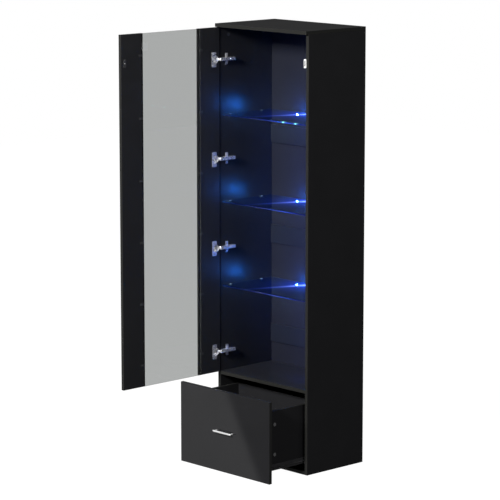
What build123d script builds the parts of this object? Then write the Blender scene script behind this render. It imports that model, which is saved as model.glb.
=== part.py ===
"""Tall display cabinet: board carcass, glazed door on concealed hinges, lit glass shelves and one drawer.

Frame: X to the right, the front faces -Y, Z up, millimetres. The origin lies on the floor, under the
middle of the bottom panel's width. The model stands as it is used for display: the door is open by
door_open_angle and the drawer is pulled out by drawer_opening. Door and drawer are modelled closed,
then moved to those places.
"""

from build123d import *
import math
import os

# ---------------------------------------------------------------- overall sizes
cabinet_width = 550.0
cabinet_depth = 350.0
cabinet_height = 1870.0
board = 15.0                    # thickness of every carcass, door and drawer-front board
edge_radius = 0.8               # rounding of the lipped board edges
overrun = 1.0                   # how far a cutting tool reaches past the face it opens

# ---------------------------------------------------------------- carcass
top_overhang = 15.0             # how far the top panel reaches over the fronts
fixed_shelf_top = 366.0         # top of the board between door bay and drawer bay
rail_height = 80.0
rail_centre_first = 495.0
rail_pitch = 440.5
rail_count = 3
rail_setback = 20.0             # from the back of the cabinet to the back of the rails
back_sheet = 3.0                # hardboard back
back_sheet_inset = 6.0          # from the rails' front face to the back sheet
groove_depth = 6.0
groove_play = 0.1               # on each side of a sheet in its groove
groove_end_play = 1.0           # between a sheet's edge and the bottom of its groove

# ---------------------------------------------------------------- assembly fittings
cam_radius = 7.5
cam_height = 12.0
cam_setback = 34.0              # board end to cam centre
cam_play = 0.1
cam_bore_floor = 0.5            # between the cam's inner end and the bottom of its bore
bolt_thread_radius = 3.0
bolt_thread_length = 11.0
bolt_shank_radius = 2.5
bolt_head_radius = 3.2
bolt_head_length = 3.0
bolt_bore_radius = 3.7
bolt_head_play = 0.3            # around the bolt's head in the cam's slot
fitting_front_inset = 50.0      # front edge to first cam
fitting_back_inset = 60.0       # back edge to last cam
dowel_offset = 32.0             # cam to the dowel beside it
dowel_radius = 4.0
dowel_length = 30.0
dowel_depth_in_face = 10.0      # how deep a dowel enters the board it stands on
dowel_play = 0.5                # free length at each end of a dowel
rail_cam_offset = 12.0          # above the rail's centre line
rail_dowel_offset = -16.0

# ---------------------------------------------------------------- glass shelves
shelf_glass = 5.0
shelf_heights = [740.5, 1105.4, 1480.3]
shelf_front_setback = 10.0
shelf_side_play = 1.5
shelf_back_play = 1.0
shelf_arris = 1.2               # rounding of the long glass edges
support_pin_radius = 2.5
support_pin_depth = 9.0
support_bracket = (10.0, 12.0, 7.0)
support_pad = 1.0
support_pad_inset = 0.5
support_insets = (55.0, 60.0)   # from the body's front edge and from the rails' front face
bore_end_play = 0.5

# ---------------------------------------------------------------- light clips
clip_length = 50.0
clip_reach = 17.0               # how far the jaws reach over the glass
clip_jaw = 4.5
clip_spine = 4.0
clip_play = 0.1
clip_corner = 1.5
lens_radius = 2.2
lens_height = 1.2
lens_pitch = 15.0
lens_count = 3
lens_inset = 5.0                # from the jaw's front edge

# ---------------------------------------------------------------- door
door_side_reveal = 1.0
door_face_gap = 2.0             # closed door to the body's front edge
door_overlap = 1.5              # how far the door covers the fixed shelf's edge
door_top_gap = 1.2
door_open_angle = 90.0
door_inward_shift = 16.5        # travel of the door's hinge corner towards the middle, to full rest
door_outward_shift = 3.0        # travel of the same corner away from the body
stile_width = 120.0
rebate_width = 9.0
door_glass = 4.0
rebate_play = 0.1
glass_edge_play = 0.5
glass_clip_rows = 6
glass_clip_end = 92.0
glass_clip_size = (20.0, 10.0, 1.6)
glass_clip_bite = 4.0           # how far a clip reaches over the glass
glass_clip_corner = 3.0
glass_screw_radius = 1.5
glass_screw_length = 11.0
glass_screw_head = 3.0
glass_screw_head_height = 0.8
glass_screw_inset = 6.5         # clip's outer end to its screw

# ---------------------------------------------------------------- concealed hinges
hinge_low_end = 89.5            # door's lower end to the lowest hinge
hinge_high_end = 135.8          # door's upper end to the highest hinge
hinge_low_step = 453.0          # lowest hinge to the second
hinge_high_step = 426.0         # highest hinge to the third
cup_radius = 17.4
cup_depth = 12.2
cup_wall = 1.0
cup_bore_radius = 17.5
cup_bore_depth = 12.5
cup_centre_inset = 24.0         # door edge to cup centre
flange_from = 19.0              # door edge to the flange plate's near edge
flange_to = 44.5
flange_half_height = 32.0
flange_thickness = 1.2
flange_corner = 4.0
cup_screw_inset = 36.0
cup_screw_offset = 24.0
ear_play = 0.3                  # cup wall's inside to the ears' outer end
ear_beyond_pin = 1.8            # the ears around the cup pin, to its inner side
ear_below_pin = 2.4
ear_above_pin = 2.0
notch_reach = 4.0               # the link's notch, from the cup wall's inside
notch_depth = 4.5
notch_height = 3.0
pin_pole_reach = 8.5            # swing centre to the cup pin
arm_pole_reach = 21.0           # swing centre to the arm pin
arm_pole_angle = 12.0
hinge_pin_radius = 1.25
hinge_running_play = 0.05
link_eye_radius = 2.2
link_half_height = 4.5
link_web = 1.4
cheek_gap = 0.4                 # link to cheek, along the pin
cheek = 1.5
arm_pad = 3.2                   # eye radius of the arm's cheeks
arm_back_from_front = 76.0      # body's front edge to the rear end of the arm
arm_height_off_panel = 15.0
arm_spine = 1.5
arm_front_from_front = 2.0      # body's front edge to the arm's nose
arm_spine_setback = 4.0         # nose to the front end of the spine
arm_lift = 1.0                  # cheeks to the mounting plate's base
arm_tail_slope = (3.0, 5.0)     # clipped rear corner of the cheeks
arm_screw_from_front = 48.0
arm_screw_radius = 2.0
arm_screw_head = 3.4
arm_screw_head_height = 1.5
plate_base = 2.0
plate_ridge_half = 4.0
plate_ridge_top = 12.0
plate_wing_half = 24.0
plate_wing_width = 14.0
plate_centre_from_front = 37.0
plate_front_from_front = 12.0
plate_back_from_front = 66.0
plate_screw_offset = 16.0

# ---------------------------------------------------------------- magnetic catch
catch_below_top = 120.0         # under the top panel to the catch's middle
catch_size = (13.0, 31.0, 36.0)
catch_front_setback = 0.5       # behind the body's front edge
magnet_size = (7.0, 14.0, 24.0)
magnet_stand_out = 1.2
magnet_play = 0.1
catch_corner = 2.0
catch_screw_inset = 8.0         # from the catch's rear end
catch_screw_offset = 10.0
strike_size = (14.0, 0.8, 34.0)
strike_corner = 3.0
strike_screw_cone = 1.7         # depth of the strike screw's conical head

# ---------------------------------------------------------------- drawer
drawer_opening = 202.0
drawer_front_bottom = 1.0
drawer_front_top_gap = 1.0      # under the fixed shelf's underside
drawer_board = 12.0
drawer_length = 300.0
drawer_side_bottom = 62.0
drawer_side_height = 240.0
runner_space = 12.5             # each side, between box and body
drawer_sheet = 3.0
drawer_sheet_height = 10.0      # under the sheet, from the bottom of the sides
drawer_groove = 6.0
drawer_cam_heights = [115.0, 243.0]
drawer_cam_setback = 42.0
drawer_cam_height = 9.0
drawer_screw_heights = [102.0, 262.0]
drawer_screw_bite = 25.0        # how deep the back's screws enter its ends

# ---------------------------------------------------------------- drawer handle
handle_length = 109.0
handle_centres = 96.0
handle_bar = (6.0, 8.0)         # depth, height
handle_leg_width = 7.0
handle_edge = 1.0
handle_projection = 18.0
handle_screw_radius = 2.0
handle_screw_grip = 8.0         # length of thread inside a leg
handle_screw_head = 4.2
handle_screw_head_height = 2.5
screw_hole_play = 0.2

# ---------------------------------------------------------------- roller runners
runner_steel = 1.2
runner_length = 295.0
runner_front_setback = 3.0
channel_bottom = 40.0
channel_top = 66.0
channel_upper_flange = 8.0
channel_lower_flange = 11.0
cabinet_roller_radius = 8.5
drawer_roller_radius = 9.0
roller_width = 7.0
roller_axle_radius = 2.0
roller_running_play = 0.06
roller_end_inset = 11.0
roller_gap = 0.2                # roller to the track it carries
roller_rim = 0.8                # rounding of the rollers' rims
roller_side_play = 1.2
front_axle_tip = 0.6            # how far an axle stands out of its roller
rear_axle_tip = 0.4
channel_flange_gap = 3.0        # front roller to the channel's flanges
runner_seat_inset = 0.5
runner_screw_steps = (0.2, 0.5, 0.8)
profile_screw_lift = 1.0
drawer_plate_bottom = 48.0
drawer_plate_top = 74.0
track_reach = 10.0              # outward lip that runs on the front roller
face_play = 0.1                 # between pieces that slide past or lie against each other

# ---------------------------------------------------------------- wood screws
wood_screw_radius = 1.75
wood_screw_head = 3.4
wood_screw_head_height = 1.1
wood_screw_length = 10.0

# ---------------------------------------------------------------- derived places
half_width = cabinet_width / 2
inner_x = half_width - board
body_back = cabinet_depth / 2
body_front = -body_back + top_overhang
side_top = cabinet_height - board
fixed_shelf_bottom = fixed_shelf_top - board
rail_back = body_back - rail_setback
rail_front = rail_back - board
sheet_front = rail_front + back_sheet_inset
sheet_back = sheet_front + back_sheet
rail_centres = [rail_centre_first + rail_pitch * i for i in range(rail_count)]

door_closed_face = body_front - door_face_gap
door_edge_x = -half_width + door_side_reveal
door_width = cabinet_width - 2 * door_side_reveal
door_bottom = fixed_shelf_top - door_overlap
door_top = side_top - door_top_gap
hinge_lowest = door_bottom + hinge_low_end
hinge_highest = door_top - hinge_high_end
hinge_heights = [hinge_lowest, hinge_lowest + hinge_low_step, hinge_highest - hinge_high_step, hinge_highest]
catch_height = side_top - catch_below_top
drawer_side_outer = inner_x - runner_space
drawer_side_inner = drawer_side_outer - drawer_board
drawer_side_top = drawer_side_bottom + drawer_side_height
drawer_back_face = door_closed_face + drawer_length
drawer_front_top = fixed_shelf_bottom - drawer_front_top_gap


# ---------------------------------------------------------------- shape helpers
def block(x0, x1, y0, y1, z0, z1):
    """A rectangular solid between two corners."""
    size = (x1 - x0, y1 - y0, z1 - z0)
    return Pos((x0 + x1) / 2, (y0 + y1) / 2, (z0 + z1) / 2) * Box(*size)


def panel(x0, x1, y0, y1, z0, z1):
    """A board with softly rounded edges."""
    plain = block(x0, x1, y0, y1, z0, z1)
    return fillet(plain.edges(), edge_radius)


def rod(start, direction, radius, length):
    """A cylinder that starts at a point and runs along a direction."""
    base = Plane(origin=start, z_dir=direction)
    return base * Cylinder(radius, length, align=(Align.CENTER, Align.CENTER, Align.MIN))


def cut(shape, tools):
    """The shape with every tool removed from it."""
    for tool in tools:
        shape = shape - tool
    return shape


def fuse(shapes):
    """All the shapes joined into one solid."""
    whole = shapes[0]
    for shape in shapes[1:]:
        whole = whole + shape
    return whole


def mirror_x(shape):
    """The same shape on the other side of the middle plane."""
    return mirror(shape, about=Plane.YZ)


def turned_back(shape, angle, corner_from, corner_to):
    """The shape turned about Z by angle, with one point of it carried to another."""
    return Pos(*corner_to) * Rot(0, 0, angle) * Pos(*[-c for c in corner_from]) * shape


def write(name, *shapes):
    """Write one node: a single solid, or a group of separate ones."""
    solids = [solid for shape in shapes for solid in shape.solids()]
    whole = solids[0] if len(solids) == 1 else Compound(children=solids)
    export_step(whole, f"parts/{name}.step")


# ---------------------------------------------------------------- cam, bolt and dowel joints
def along(point, direction, distance):
    """The point moved along a direction."""
    return tuple(p + d * distance for p, d in zip(point, direction))


def cam_joint(face_point, inward, cam_open, half_board, height=cam_height, setback=cam_setback):
    """One cam joint. The bolt stands on face_point and enters the other board along inward.

    cam_open is the direction from the board's middle to the face that the cam is pressed into.
    Returns the cam, the bolt and the bores for both boards.
    """
    outward = tuple(-d for d in inward)
    centre = along(face_point, inward, setback)
    mouth = along(centre, cam_open, half_board)
    into = tuple(-d for d in cam_open)
    cam = rod(mouth, into, cam_radius, height)
    reach = cam_radius + overrun
    slot_radius = bolt_head_radius + bolt_head_play
    slot = rod(along(centre, inward, slot_radius), outward, slot_radius, reach + slot_radius)
    cam = cam - slot
    shank_length = setback - bolt_head_length / 2
    thread = rod(face_point, outward, bolt_thread_radius, bolt_thread_length)
    shank = rod(face_point, inward, bolt_shank_radius, shank_length)
    head_start = along(face_point, inward, shank_length)
    head = rod(head_start, inward, bolt_head_radius, bolt_head_length)
    bolt = fuse([thread, shank, head])
    cam_bore = rod(mouth, into, cam_radius + cam_play, height + cam_bore_floor)
    bolt_bore = rod(face_point, inward, bolt_bore_radius, setback)
    thread_bore = rod(face_point, outward, bolt_thread_radius, bolt_thread_length + bore_end_play)
    return cam, bolt, [cam_bore, bolt_bore], [thread_bore]


def dowel_joint(face_point, inward):
    """One dowel standing on face_point. Returns the dowel and the bores for both boards."""
    outward = tuple(-d for d in inward)
    start = along(face_point, outward, dowel_depth_in_face)
    dowel = rod(start, inward, dowel_radius, dowel_length)
    deep = dowel_length - dowel_depth_in_face + dowel_play
    shallow = dowel_depth_in_face + dowel_play
    bore_in = rod(face_point, inward, dowel_radius, deep)
    bore_face = rod(face_point, outward, dowel_radius, shallow)
    return dowel, bore_in, bore_face


cams, bolts, dowels = [], [], []
bores = {name: [] for name in ("left", "right", "bottom", "shelf", "top")}
rail_bores = [[] for _ in rail_centres]
fitting_front = body_front + fitting_front_inset
fitting_back = rail_back - fitting_back_inset
sides = (("left", -1), ("right", 1))


def join_cam(face_point, inward, cam_open, inner_cuts, face_cuts):
    """Add one carcass cam joint and hand its bores to the two boards."""
    cam, bolt, inner, face = cam_joint(face_point, inward, cam_open, board / 2)
    cams.append(cam)
    bolts.append(bolt)
    inner_cuts.extend(inner)
    face_cuts.extend(face)


def join_dowel(face_point, inward, inner_cuts, face_cuts):
    """Add one carcass dowel and hand its bores to the two boards."""
    dowel, bore_in, bore_face = dowel_joint(face_point, inward)
    dowels.append(dowel)
    inner_cuts.append(bore_in)
    face_cuts.append(bore_face)


for side, sign in sides:
    inward = (-sign, 0, 0)
    face = sign * inner_x
    for name, level in (("bottom", board / 2), ("shelf", fixed_shelf_top - board / 2)):
        for y, step in ((fitting_front, dowel_offset), (fitting_back, -dowel_offset)):
            join_cam((face, y, level), inward, (0, 0, -1), bores[name], bores[side])
            join_dowel((face, y + step, level), inward, bores[name], bores[side])
    for cuts, centre in zip(rail_bores, rail_centres):
        middle = (rail_front + rail_back) / 2
        cam_point = (face, middle, centre + rail_cam_offset)
        dowel_point = (face, middle, centre + rail_dowel_offset)
        join_cam(cam_point, inward, (0, 1, 0), cuts, bores[side])
        join_dowel(dowel_point, inward, cuts, bores[side])
    side_middle = sign * (half_width - board / 2)
    for y, step in ((fitting_front, dowel_offset), (fitting_back, -dowel_offset)):
        join_cam((side_middle, y, side_top), (0, 0, -1), inward, bores[side], bores["top"])
        join_dowel((side_middle, y + step, side_top), (0, 0, -1), bores[side], bores["top"])

# ---------------------------------------------------------------- wood screws
cabinet_screws, door_screws, drawer_screws = [], [], []


def wood_screw(seat, inward, length=wood_screw_length, head=wood_screw_head):
    """A pan-head screw whose head sits on seat, and the pilot bore it cuts."""
    outward = tuple(-d for d in inward)
    shank = rod(seat, inward, wood_screw_radius, length)
    cap = rod(seat, outward, head, wood_screw_head_height)
    bore = rod(seat, inward, wood_screw_radius, length + bore_end_play)
    return fuse([cap, shank]), bore


def sunk_screw(seat, inward, cone, length=wood_screw_length):
    """A screw whose conical head ends flush with seat, and the bore it cuts."""
    base = Plane(origin=seat, z_dir=inward)
    upright = (Align.CENTER, Align.CENTER, Align.MIN)
    head = base * Cone(wood_screw_head, wood_screw_radius, cone, align=upright)
    bore = head + rod(seat, inward, wood_screw_radius, length + bore_end_play)
    return head + rod(seat, inward, wood_screw_radius, length), bore


# ---------------------------------------------------------------- hinge kinematics
# The door's hinge corner goes from closed_corner to open_corner while the door turns by
# door_open_angle. The swing centre is the one point of the door's plane that ends where it began.
closed_corner = (door_edge_x, door_closed_face)
open_corner = (door_edge_x + door_inward_shift, door_closed_face - door_outward_shift)
turn = math.radians(door_open_angle)
chord = (open_corner[0] - closed_corner[0], open_corner[1] - closed_corner[1])
chord_side = 1 / math.tan(turn / 2)
pole = (
    (closed_corner[0] + open_corner[0]) / 2 + chord[1] * chord_side / 2,
    (closed_corner[1] + open_corner[1]) / 2 - chord[0] * chord_side / 2,
)


def around(centre, reach, degrees):
    """The point at a reach and a direction from a centre, in plan."""
    angle = math.radians(degrees)
    return (centre[0] + reach * math.cos(angle), centre[1] + reach * math.sin(angle))


arm_pin = around(pole, arm_pole_reach, arm_pole_angle)
cup_pin_closed = around(pole, pin_pole_reach, arm_pole_angle + door_open_angle / 2)
cup_pin_open = around(pole, pin_pole_reach, arm_pole_angle - door_open_angle / 2)


def opened(shape):
    """A door piece carried from its closed place to its open one."""
    return turned_back(shape, -door_open_angle, (*closed_corner, 0), (*open_corner, 0))


def pulled(shape):
    """A drawer piece carried from its closed place to its open one."""
    return Pos(0, -drawer_opening, 0) * shape


# ---------------------------------------------------------------- hinges
def slab(points, low, high):
    """A plan outline raised between two heights."""
    face = make_face(Polyline(*[(x, y, low) for x, y in points], close=True))
    return extrude(face, amount=high - low, dir=(0, 0, 1))


def plan_bar(start, end, width, low, high):
    """A straight bar of a given width between two plan points."""
    length = math.dist(start, end)
    angle = math.degrees(math.atan2(end[1] - start[1], end[0] - start[0]))
    bar = block(0, length, -width / 2, width / 2, low, high)
    return Pos(start[0], start[1], 0) * Rot(0, 0, angle) * bar


def hinge_link():
    """The link: two pin eyes with a web between them, centred on height zero."""
    low, high = -link_half_height, link_half_height
    eyes = [rod((*pin, low), (0, 0, 1), link_eye_radius, high - low) for pin in (arm_pin, cup_pin_open)]
    web = plan_bar(arm_pin, cup_pin_open, link_web, low, high)
    bore_radius = hinge_pin_radius + hinge_running_play
    through = high - low + 2 * overrun
    holes = [rod((*pin, low - overrun), (0, 0, 1), bore_radius, through) for pin in (arm_pin, cup_pin_open)]
    return cut(fuse([*eyes, web]), holes)


cheek_in = link_half_height + cheek_gap
cheek_out = cheek_in + cheek
arm_screw_y = body_front + arm_screw_from_front


def hinge_pin(point):
    """A pin through the two cheeks, centred on height zero."""
    return rod((*point, -cheek_out), (0, 0, 1), hinge_pin_radius, 2 * cheek_out)


def hinge_arm():
    """The arm: a channel of two cheeks and a spine over the mounting plate's ridge."""
    far = -inner_x + arm_height_off_panel
    near = -inner_x + plate_base + arm_lift
    rear = body_front + arm_back_from_front
    front = body_front + arm_front_from_front
    tail_rise, tail_run = arm_tail_slope
    outline = [
        (near, front), (arm_pin[0] - arm_pad, arm_pin[1]), (arm_pin[0] + arm_pad, arm_pin[1]),
        (far, front), (far, rear), (near + tail_rise, rear), (near, rear - tail_run),
    ]
    cheeks = []
    for low in (-cheek_out, cheek_in):
        eye = rod((*arm_pin, low), (0, 0, 1), arm_pad, cheek)
        cheeks.append(slab(outline, low, low + cheek) + eye)
    spine = block(far - arm_spine, far, front + arm_spine_setback, rear, -cheek_out, cheek_out)
    arm = fuse([*cheeks, spine])
    bore = hinge_pin(arm_pin)
    hole_start = (far + overrun, arm_screw_y, 0)
    screw_hole = rod(hole_start, (-1, 0, 0), arm_screw_radius + screw_hole_play, arm_spine + 2 * overrun)
    return cut(arm, [bore, screw_hole])


def hinge_arm_screw():
    """The machine screw that clamps the arm to the mounting plate."""
    seat = -inner_x + arm_height_off_panel
    head = rod((seat, arm_screw_y, 0), (1, 0, 0), arm_screw_head, arm_screw_head_height)
    shank = rod((seat, arm_screw_y, 0), (-1, 0, 0), arm_screw_radius, seat + inner_x - plate_base)
    return fuse([head, shank])


def mounting_plate():
    """The cross-shaped plate on the side panel, with the ridge that carries the arm."""
    wall = -inner_x
    centre = body_front + plate_centre_from_front
    front = body_front + plate_front_from_front
    back = body_front + plate_back_from_front
    wing = block(
        wall, wall + plate_base, centre - plate_wing_width / 2, centre + plate_wing_width / 2,
        -plate_wing_half, plate_wing_half,
    )
    foot = block(wall, wall + plate_base, front, back, -cheek_out, cheek_out)
    ridge = block(wall, wall + plate_ridge_top, front, back, -plate_ridge_half, plate_ridge_half)
    holes = [
        rod((wall + plate_base + overrun, centre, z), (-1, 0, 0), wood_screw_radius, plate_base + 2 * overrun)
        for z in (-plate_screw_offset, plate_screw_offset)
    ]
    depth = arm_height_off_panel - plate_base
    thread = rod((wall + arm_height_off_panel, arm_screw_y, 0), (-1, 0, 0), arm_screw_radius, depth)
    return cut(fuse([wing, foot, ridge]), [*holes, thread])


def hinge_cup():
    """The cup in the door's closed place: a pressed cup with flange, pin ears and a notch for the link."""
    x = door_edge_x + cup_centre_inset
    face = door_closed_face
    shell = rod((x, face, 0), (0, -1, 0), cup_radius, cup_depth)
    flange = block(
        door_edge_x + flange_from, door_edge_x + flange_to, face, face + flange_thickness,
        -flange_half_height, flange_half_height,
    )
    flange = fillet(flange.edges().filter_by(Axis.Y), flange_corner)
    inner_radius = cup_radius - cup_wall
    hollow_start = face + flange_thickness + overrun
    hollow = rod((x, hollow_start, 0), (0, -1, 0), inner_radius, hollow_start - face + cup_depth - cup_wall)
    ears = []
    for low in (-cheek_out, cheek_in):
        ear = block(
            x - inner_radius - ear_play, cup_pin_closed[0] + ear_beyond_pin,
            cup_pin_closed[1] - ear_below_pin, cup_pin_closed[1] + ear_above_pin, low, low + cheek,
        )
        ears.append(ear & rod((x, face, 0), (0, -1, 0), cup_radius, cup_depth))
    notch = block(
        door_edge_x, x - inner_radius + notch_reach, face - notch_depth, face + notch_height,
        -cheek_in, cheek_in,
    )
    cup = fuse([shell + flange - hollow, *ears]) - notch
    through = flange_thickness + 2 * overrun
    hole_top = face + flange_thickness + overrun
    screw_holes = [
        rod((door_edge_x + cup_screw_inset, hole_top, z), (0, -1, 0), wood_screw_radius, through)
        for z in (-cup_screw_offset, cup_screw_offset)
    ]
    return cut(cup, [*screw_holes, hinge_pin(cup_pin_closed)])


stile_cuts = []
hinge_sets = {name: [] for name in ("plates", "arms", "arm_screws", "arm_pins", "links", "cups", "cup_pins")}
for height in hinge_heights:
    lift = Pos(0, 0, height)
    hinge_sets["plates"].append(lift * mounting_plate())
    hinge_sets["arms"].append(lift * hinge_arm())
    hinge_sets["arm_screws"].append(lift * hinge_arm_screw())
    hinge_sets["arm_pins"].append(lift * hinge_pin(arm_pin))
    hinge_sets["links"].append(lift * hinge_link())
    hinge_sets["cups"].append(opened(lift * hinge_cup()))
    hinge_sets["cup_pins"].append(opened(lift * hinge_pin(cup_pin_closed)))
    cup_centre = (door_edge_x + cup_centre_inset, door_closed_face, height)
    stile_cuts.append(rod(cup_centre, (0, -1, 0), cup_bore_radius, cup_bore_depth))
    for offset in (-cup_screw_offset, cup_screw_offset):
        seat = (door_edge_x + cup_screw_inset, door_closed_face + flange_thickness, height + offset)
        screw, bore = wood_screw(seat, (0, -1, 0))
        door_screws.append(screw)
        stile_cuts.append(bore)
    for offset in (-plate_screw_offset, plate_screw_offset):
        seat = (-inner_x + plate_base, body_front + plate_centre_from_front, height + offset)
        screw, bore = wood_screw(seat, (-1, 0, 0))
        cabinet_screws.append(screw)
        bores["left"].append(bore)

# ---------------------------------------------------------------- magnetic catch and its strike plate
catch_front = body_front + catch_front_setback
catch_inner_x = inner_x - catch_size[0]
catch_x = inner_x - catch_size[0] / 2
catch_low = catch_height - catch_size[2] / 2
catch_high = catch_height + catch_size[2] / 2
catch = block(catch_inner_x, inner_x, catch_front, catch_front + catch_size[1], catch_low, catch_high)
catch = fillet(catch.edges().filter_by(Axis.X), catch_corner)
magnet_front = catch_front - magnet_stand_out
magnet = block(
    catch_x - magnet_size[0] / 2, catch_x + magnet_size[0] / 2, magnet_front, magnet_front + magnet_size[1],
    catch_height - magnet_size[2] / 2, catch_height + magnet_size[2] / 2,
)
pocket = block(
    catch_x - magnet_size[0] / 2 - magnet_play, catch_x + magnet_size[0] / 2 + magnet_play,
    catch_front - overrun, magnet_front + magnet_size[1] + magnet_play,
    catch_height - magnet_size[2] / 2 - magnet_play, catch_height + magnet_size[2] / 2 + magnet_play,
)
catch = catch - pocket
catch_screw_y = catch_front + catch_size[1] - catch_screw_inset
for z in (catch_height - catch_screw_offset, catch_height + catch_screw_offset):
    seat = (catch_inner_x, catch_screw_y, z)
    screw, bore = wood_screw(seat, (1, 0, 0), catch_size[0] + wood_screw_length)
    cabinet_screws.append(screw)
    catch = catch - bore
    bores["right"].append(bore)

strike = block(
    catch_x - strike_size[0] / 2, catch_x + strike_size[0] / 2,
    door_closed_face, door_closed_face + strike_size[1],
    catch_height - strike_size[2] / 2, catch_height + strike_size[2] / 2,
)
strike = fillet(strike.edges().filter_by(Axis.Y), strike_corner)
strike_seat = (catch_x, door_closed_face + strike_size[1], catch_height)
strike_screw, strike_bore = sunk_screw(strike_seat, (0, -1, 0), strike_screw_cone)
strike = strike - strike_bore
free_stile_cuts = [strike_bore]
door_screws.append(strike_screw)

# ---------------------------------------------------------------- shelf supports
support_pins, support_pads = [], []
support_ys = (body_front + support_insets[0], rail_front - support_insets[1])
bracket_x, bracket_y, bracket_z = support_bracket
for level in shelf_heights:
    under_glass = level - shelf_glass / 2
    pad_bottom = under_glass - support_pad
    for side, sign in sides:
        for y in support_ys:
            face = sign * inner_x
            tip = face - sign * bracket_x
            low_x, high_x = min(face, tip), max(face, tip)
            y0, y1 = y - bracket_y / 2, y + bracket_y / 2
            bracket = block(low_x, high_x, y0, y1, pad_bottom - bracket_z, pad_bottom)
            pin_z = pad_bottom - bracket_z / 2
            pin = rod((face, y, pin_z), (sign, 0, 0), support_pin_radius, support_pin_depth)
            bore = rod((face, y, pin_z), (sign, 0, 0), support_pin_radius, support_pin_depth + bore_end_play)
            support_pins.append(bracket + pin)
            pad_x0, pad_x1 = low_x + support_pad_inset, high_x - support_pad_inset
            pad_y0, pad_y1 = y0 + support_pad_inset, y1 - support_pad_inset
            support_pads.append(block(pad_x0, pad_x1, pad_y0, pad_y1, pad_bottom, under_glass))
            bores[side].append(bore)

# ---------------------------------------------------------------- roller runners
runner_front = body_front + runner_front_setback
runner_back = runner_front + runner_length
steel = runner_steel
plate_x0 = drawer_side_outer + face_play
plate_x1 = plate_x0 + steel
track_bottom = drawer_side_bottom - face_play - steel
front_roller_y = runner_front + roller_end_inset
front_roller_z = track_bottom - roller_gap - cabinet_roller_radius
rear_roller_y = runner_back - roller_end_inset
rear_roller_z = channel_bottom + steel + roller_gap + drawer_roller_radius
roller_x0 = plate_x1 + roller_side_play
roller_x1 = roller_x0 + roller_width
channel_flange_front = front_roller_y + cabinet_roller_radius + channel_flange_gap


def roller(y, z, radius):
    """A plastic roller on the right-hand side."""
    wheel = rod((roller_x0, y, z), (1, 0, 0), radius, roller_width)
    wheel = fillet(wheel.edges().filter_by(GeomType.CIRCLE), roller_rim)
    bore_radius = roller_axle_radius + roller_running_play
    return wheel - rod((roller_x0 - overrun, y, z), (1, 0, 0), bore_radius, roller_width + 2 * overrun)


def cabinet_runner():
    """The fixed channel on the right-hand panel, with the front roller's axle riveted in."""
    wall = block(inner_x - steel, inner_x, runner_front, runner_back, channel_bottom, channel_top)
    lower = block(
        inner_x - channel_lower_flange, inner_x, channel_flange_front, runner_back,
        channel_bottom, channel_bottom + steel,
    )
    upper = block(
        inner_x - channel_upper_flange, inner_x, channel_flange_front, runner_back,
        channel_top - steel, channel_top,
    )
    axle_start = (roller_x0 - front_axle_tip, front_roller_y, front_roller_z)
    axle = rod(axle_start, (1, 0, 0), roller_axle_radius, inner_x - roller_x0)
    return fuse([wall, lower, upper, axle])


def drawer_runner():
    """The moving profile under the right-hand drawer side, with the rear roller's axle riveted in."""
    wall = block(plate_x0, plate_x1, runner_front, runner_back, drawer_plate_bottom, drawer_plate_top)
    seat = block(
        drawer_side_inner + runner_seat_inset, plate_x1, runner_front, runner_back,
        track_bottom, track_bottom + steel,
    )
    track = block(
        plate_x0, plate_x0 + track_reach, runner_front, runner_back, track_bottom, track_bottom + steel,
    )
    axle_start = (plate_x0, rear_roller_y, rear_roller_z)
    axle = rod(axle_start, (1, 0, 0), roller_axle_radius, roller_x1 + rear_axle_tip - plate_x0)
    return fuse([wall, seat, track, axle])


right_channel, right_profile = cabinet_runner(), drawer_runner()
drawer_side_cuts = []
channel_screw_z = (channel_bottom + channel_top) / 2
profile_screw_z = (drawer_plate_top + drawer_side_bottom) / 2 + profile_screw_lift
for step in runner_screw_steps:
    y = runner_front + runner_length * step
    screw, bore = wood_screw((inner_x - steel, y, channel_screw_z), (1, 0, 0))
    right_channel = right_channel - bore
    cabinet_screws.extend([screw, mirror_x(screw)])
    bores["right"].append(bore)
    bores["left"].append(mirror_x(bore))
    screw, bore = wood_screw((plate_x1, y, profile_screw_z), (-1, 0, 0))
    right_profile = right_profile - bore
    drawer_screws.extend([screw, mirror_x(screw)])
    drawer_side_cuts.append(bore)

# ---------------------------------------------------------------- carcass boards
groove_y0, groove_y1 = sheet_front - groove_play, sheet_back + groove_play
sheet_bite = groove_depth - groove_end_play


def edge_groove(level, direction):
    """The groove for the back sheet in a horizontal board or rail, cut from one face."""
    low, high = sorted((level, level - direction * groove_depth))
    return block(-inner_x - overrun, inner_x + overrun, groove_y0, groove_y1, low, high)


left_groove = block(-inner_x - groove_depth, -inner_x, groove_y0, groove_y1, 0, side_top)
left_side = panel(-half_width, -inner_x, body_front, body_back, 0, side_top)
right_side = mirror_x(left_side)
top_panel = panel(-half_width, half_width, -body_back, body_back, side_top, cabinet_height)
top_groove = block(
    -inner_x - groove_depth, inner_x + groove_depth, groove_y0, groove_y1, side_top, side_top + groove_depth,
)
bottom_panel = panel(-inner_x, inner_x, body_front, rail_back, 0, board)
fixed_shelf = panel(-inner_x, inner_x, body_front, rail_back, fixed_shelf_bottom, fixed_shelf_top)
shelf_grooves = [edge_groove(fixed_shelf_top, 1), edge_groove(fixed_shelf_bottom, -1)]

os.makedirs("parts", exist_ok=True)
write("left_side_panel", cut(left_side, [left_groove, *bores["left"]]))
write("right_side_panel", cut(right_side, [mirror_x(left_groove), *bores["right"]]))
write("top_panel", cut(top_panel, [top_groove, *bores["top"]]))
write("bottom_panel", cut(bottom_panel, [edge_groove(board, 1), *bores["bottom"]]))
write("fixed_shelf", cut(fixed_shelf, [*shelf_grooves, *bores["shelf"]]))

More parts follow.
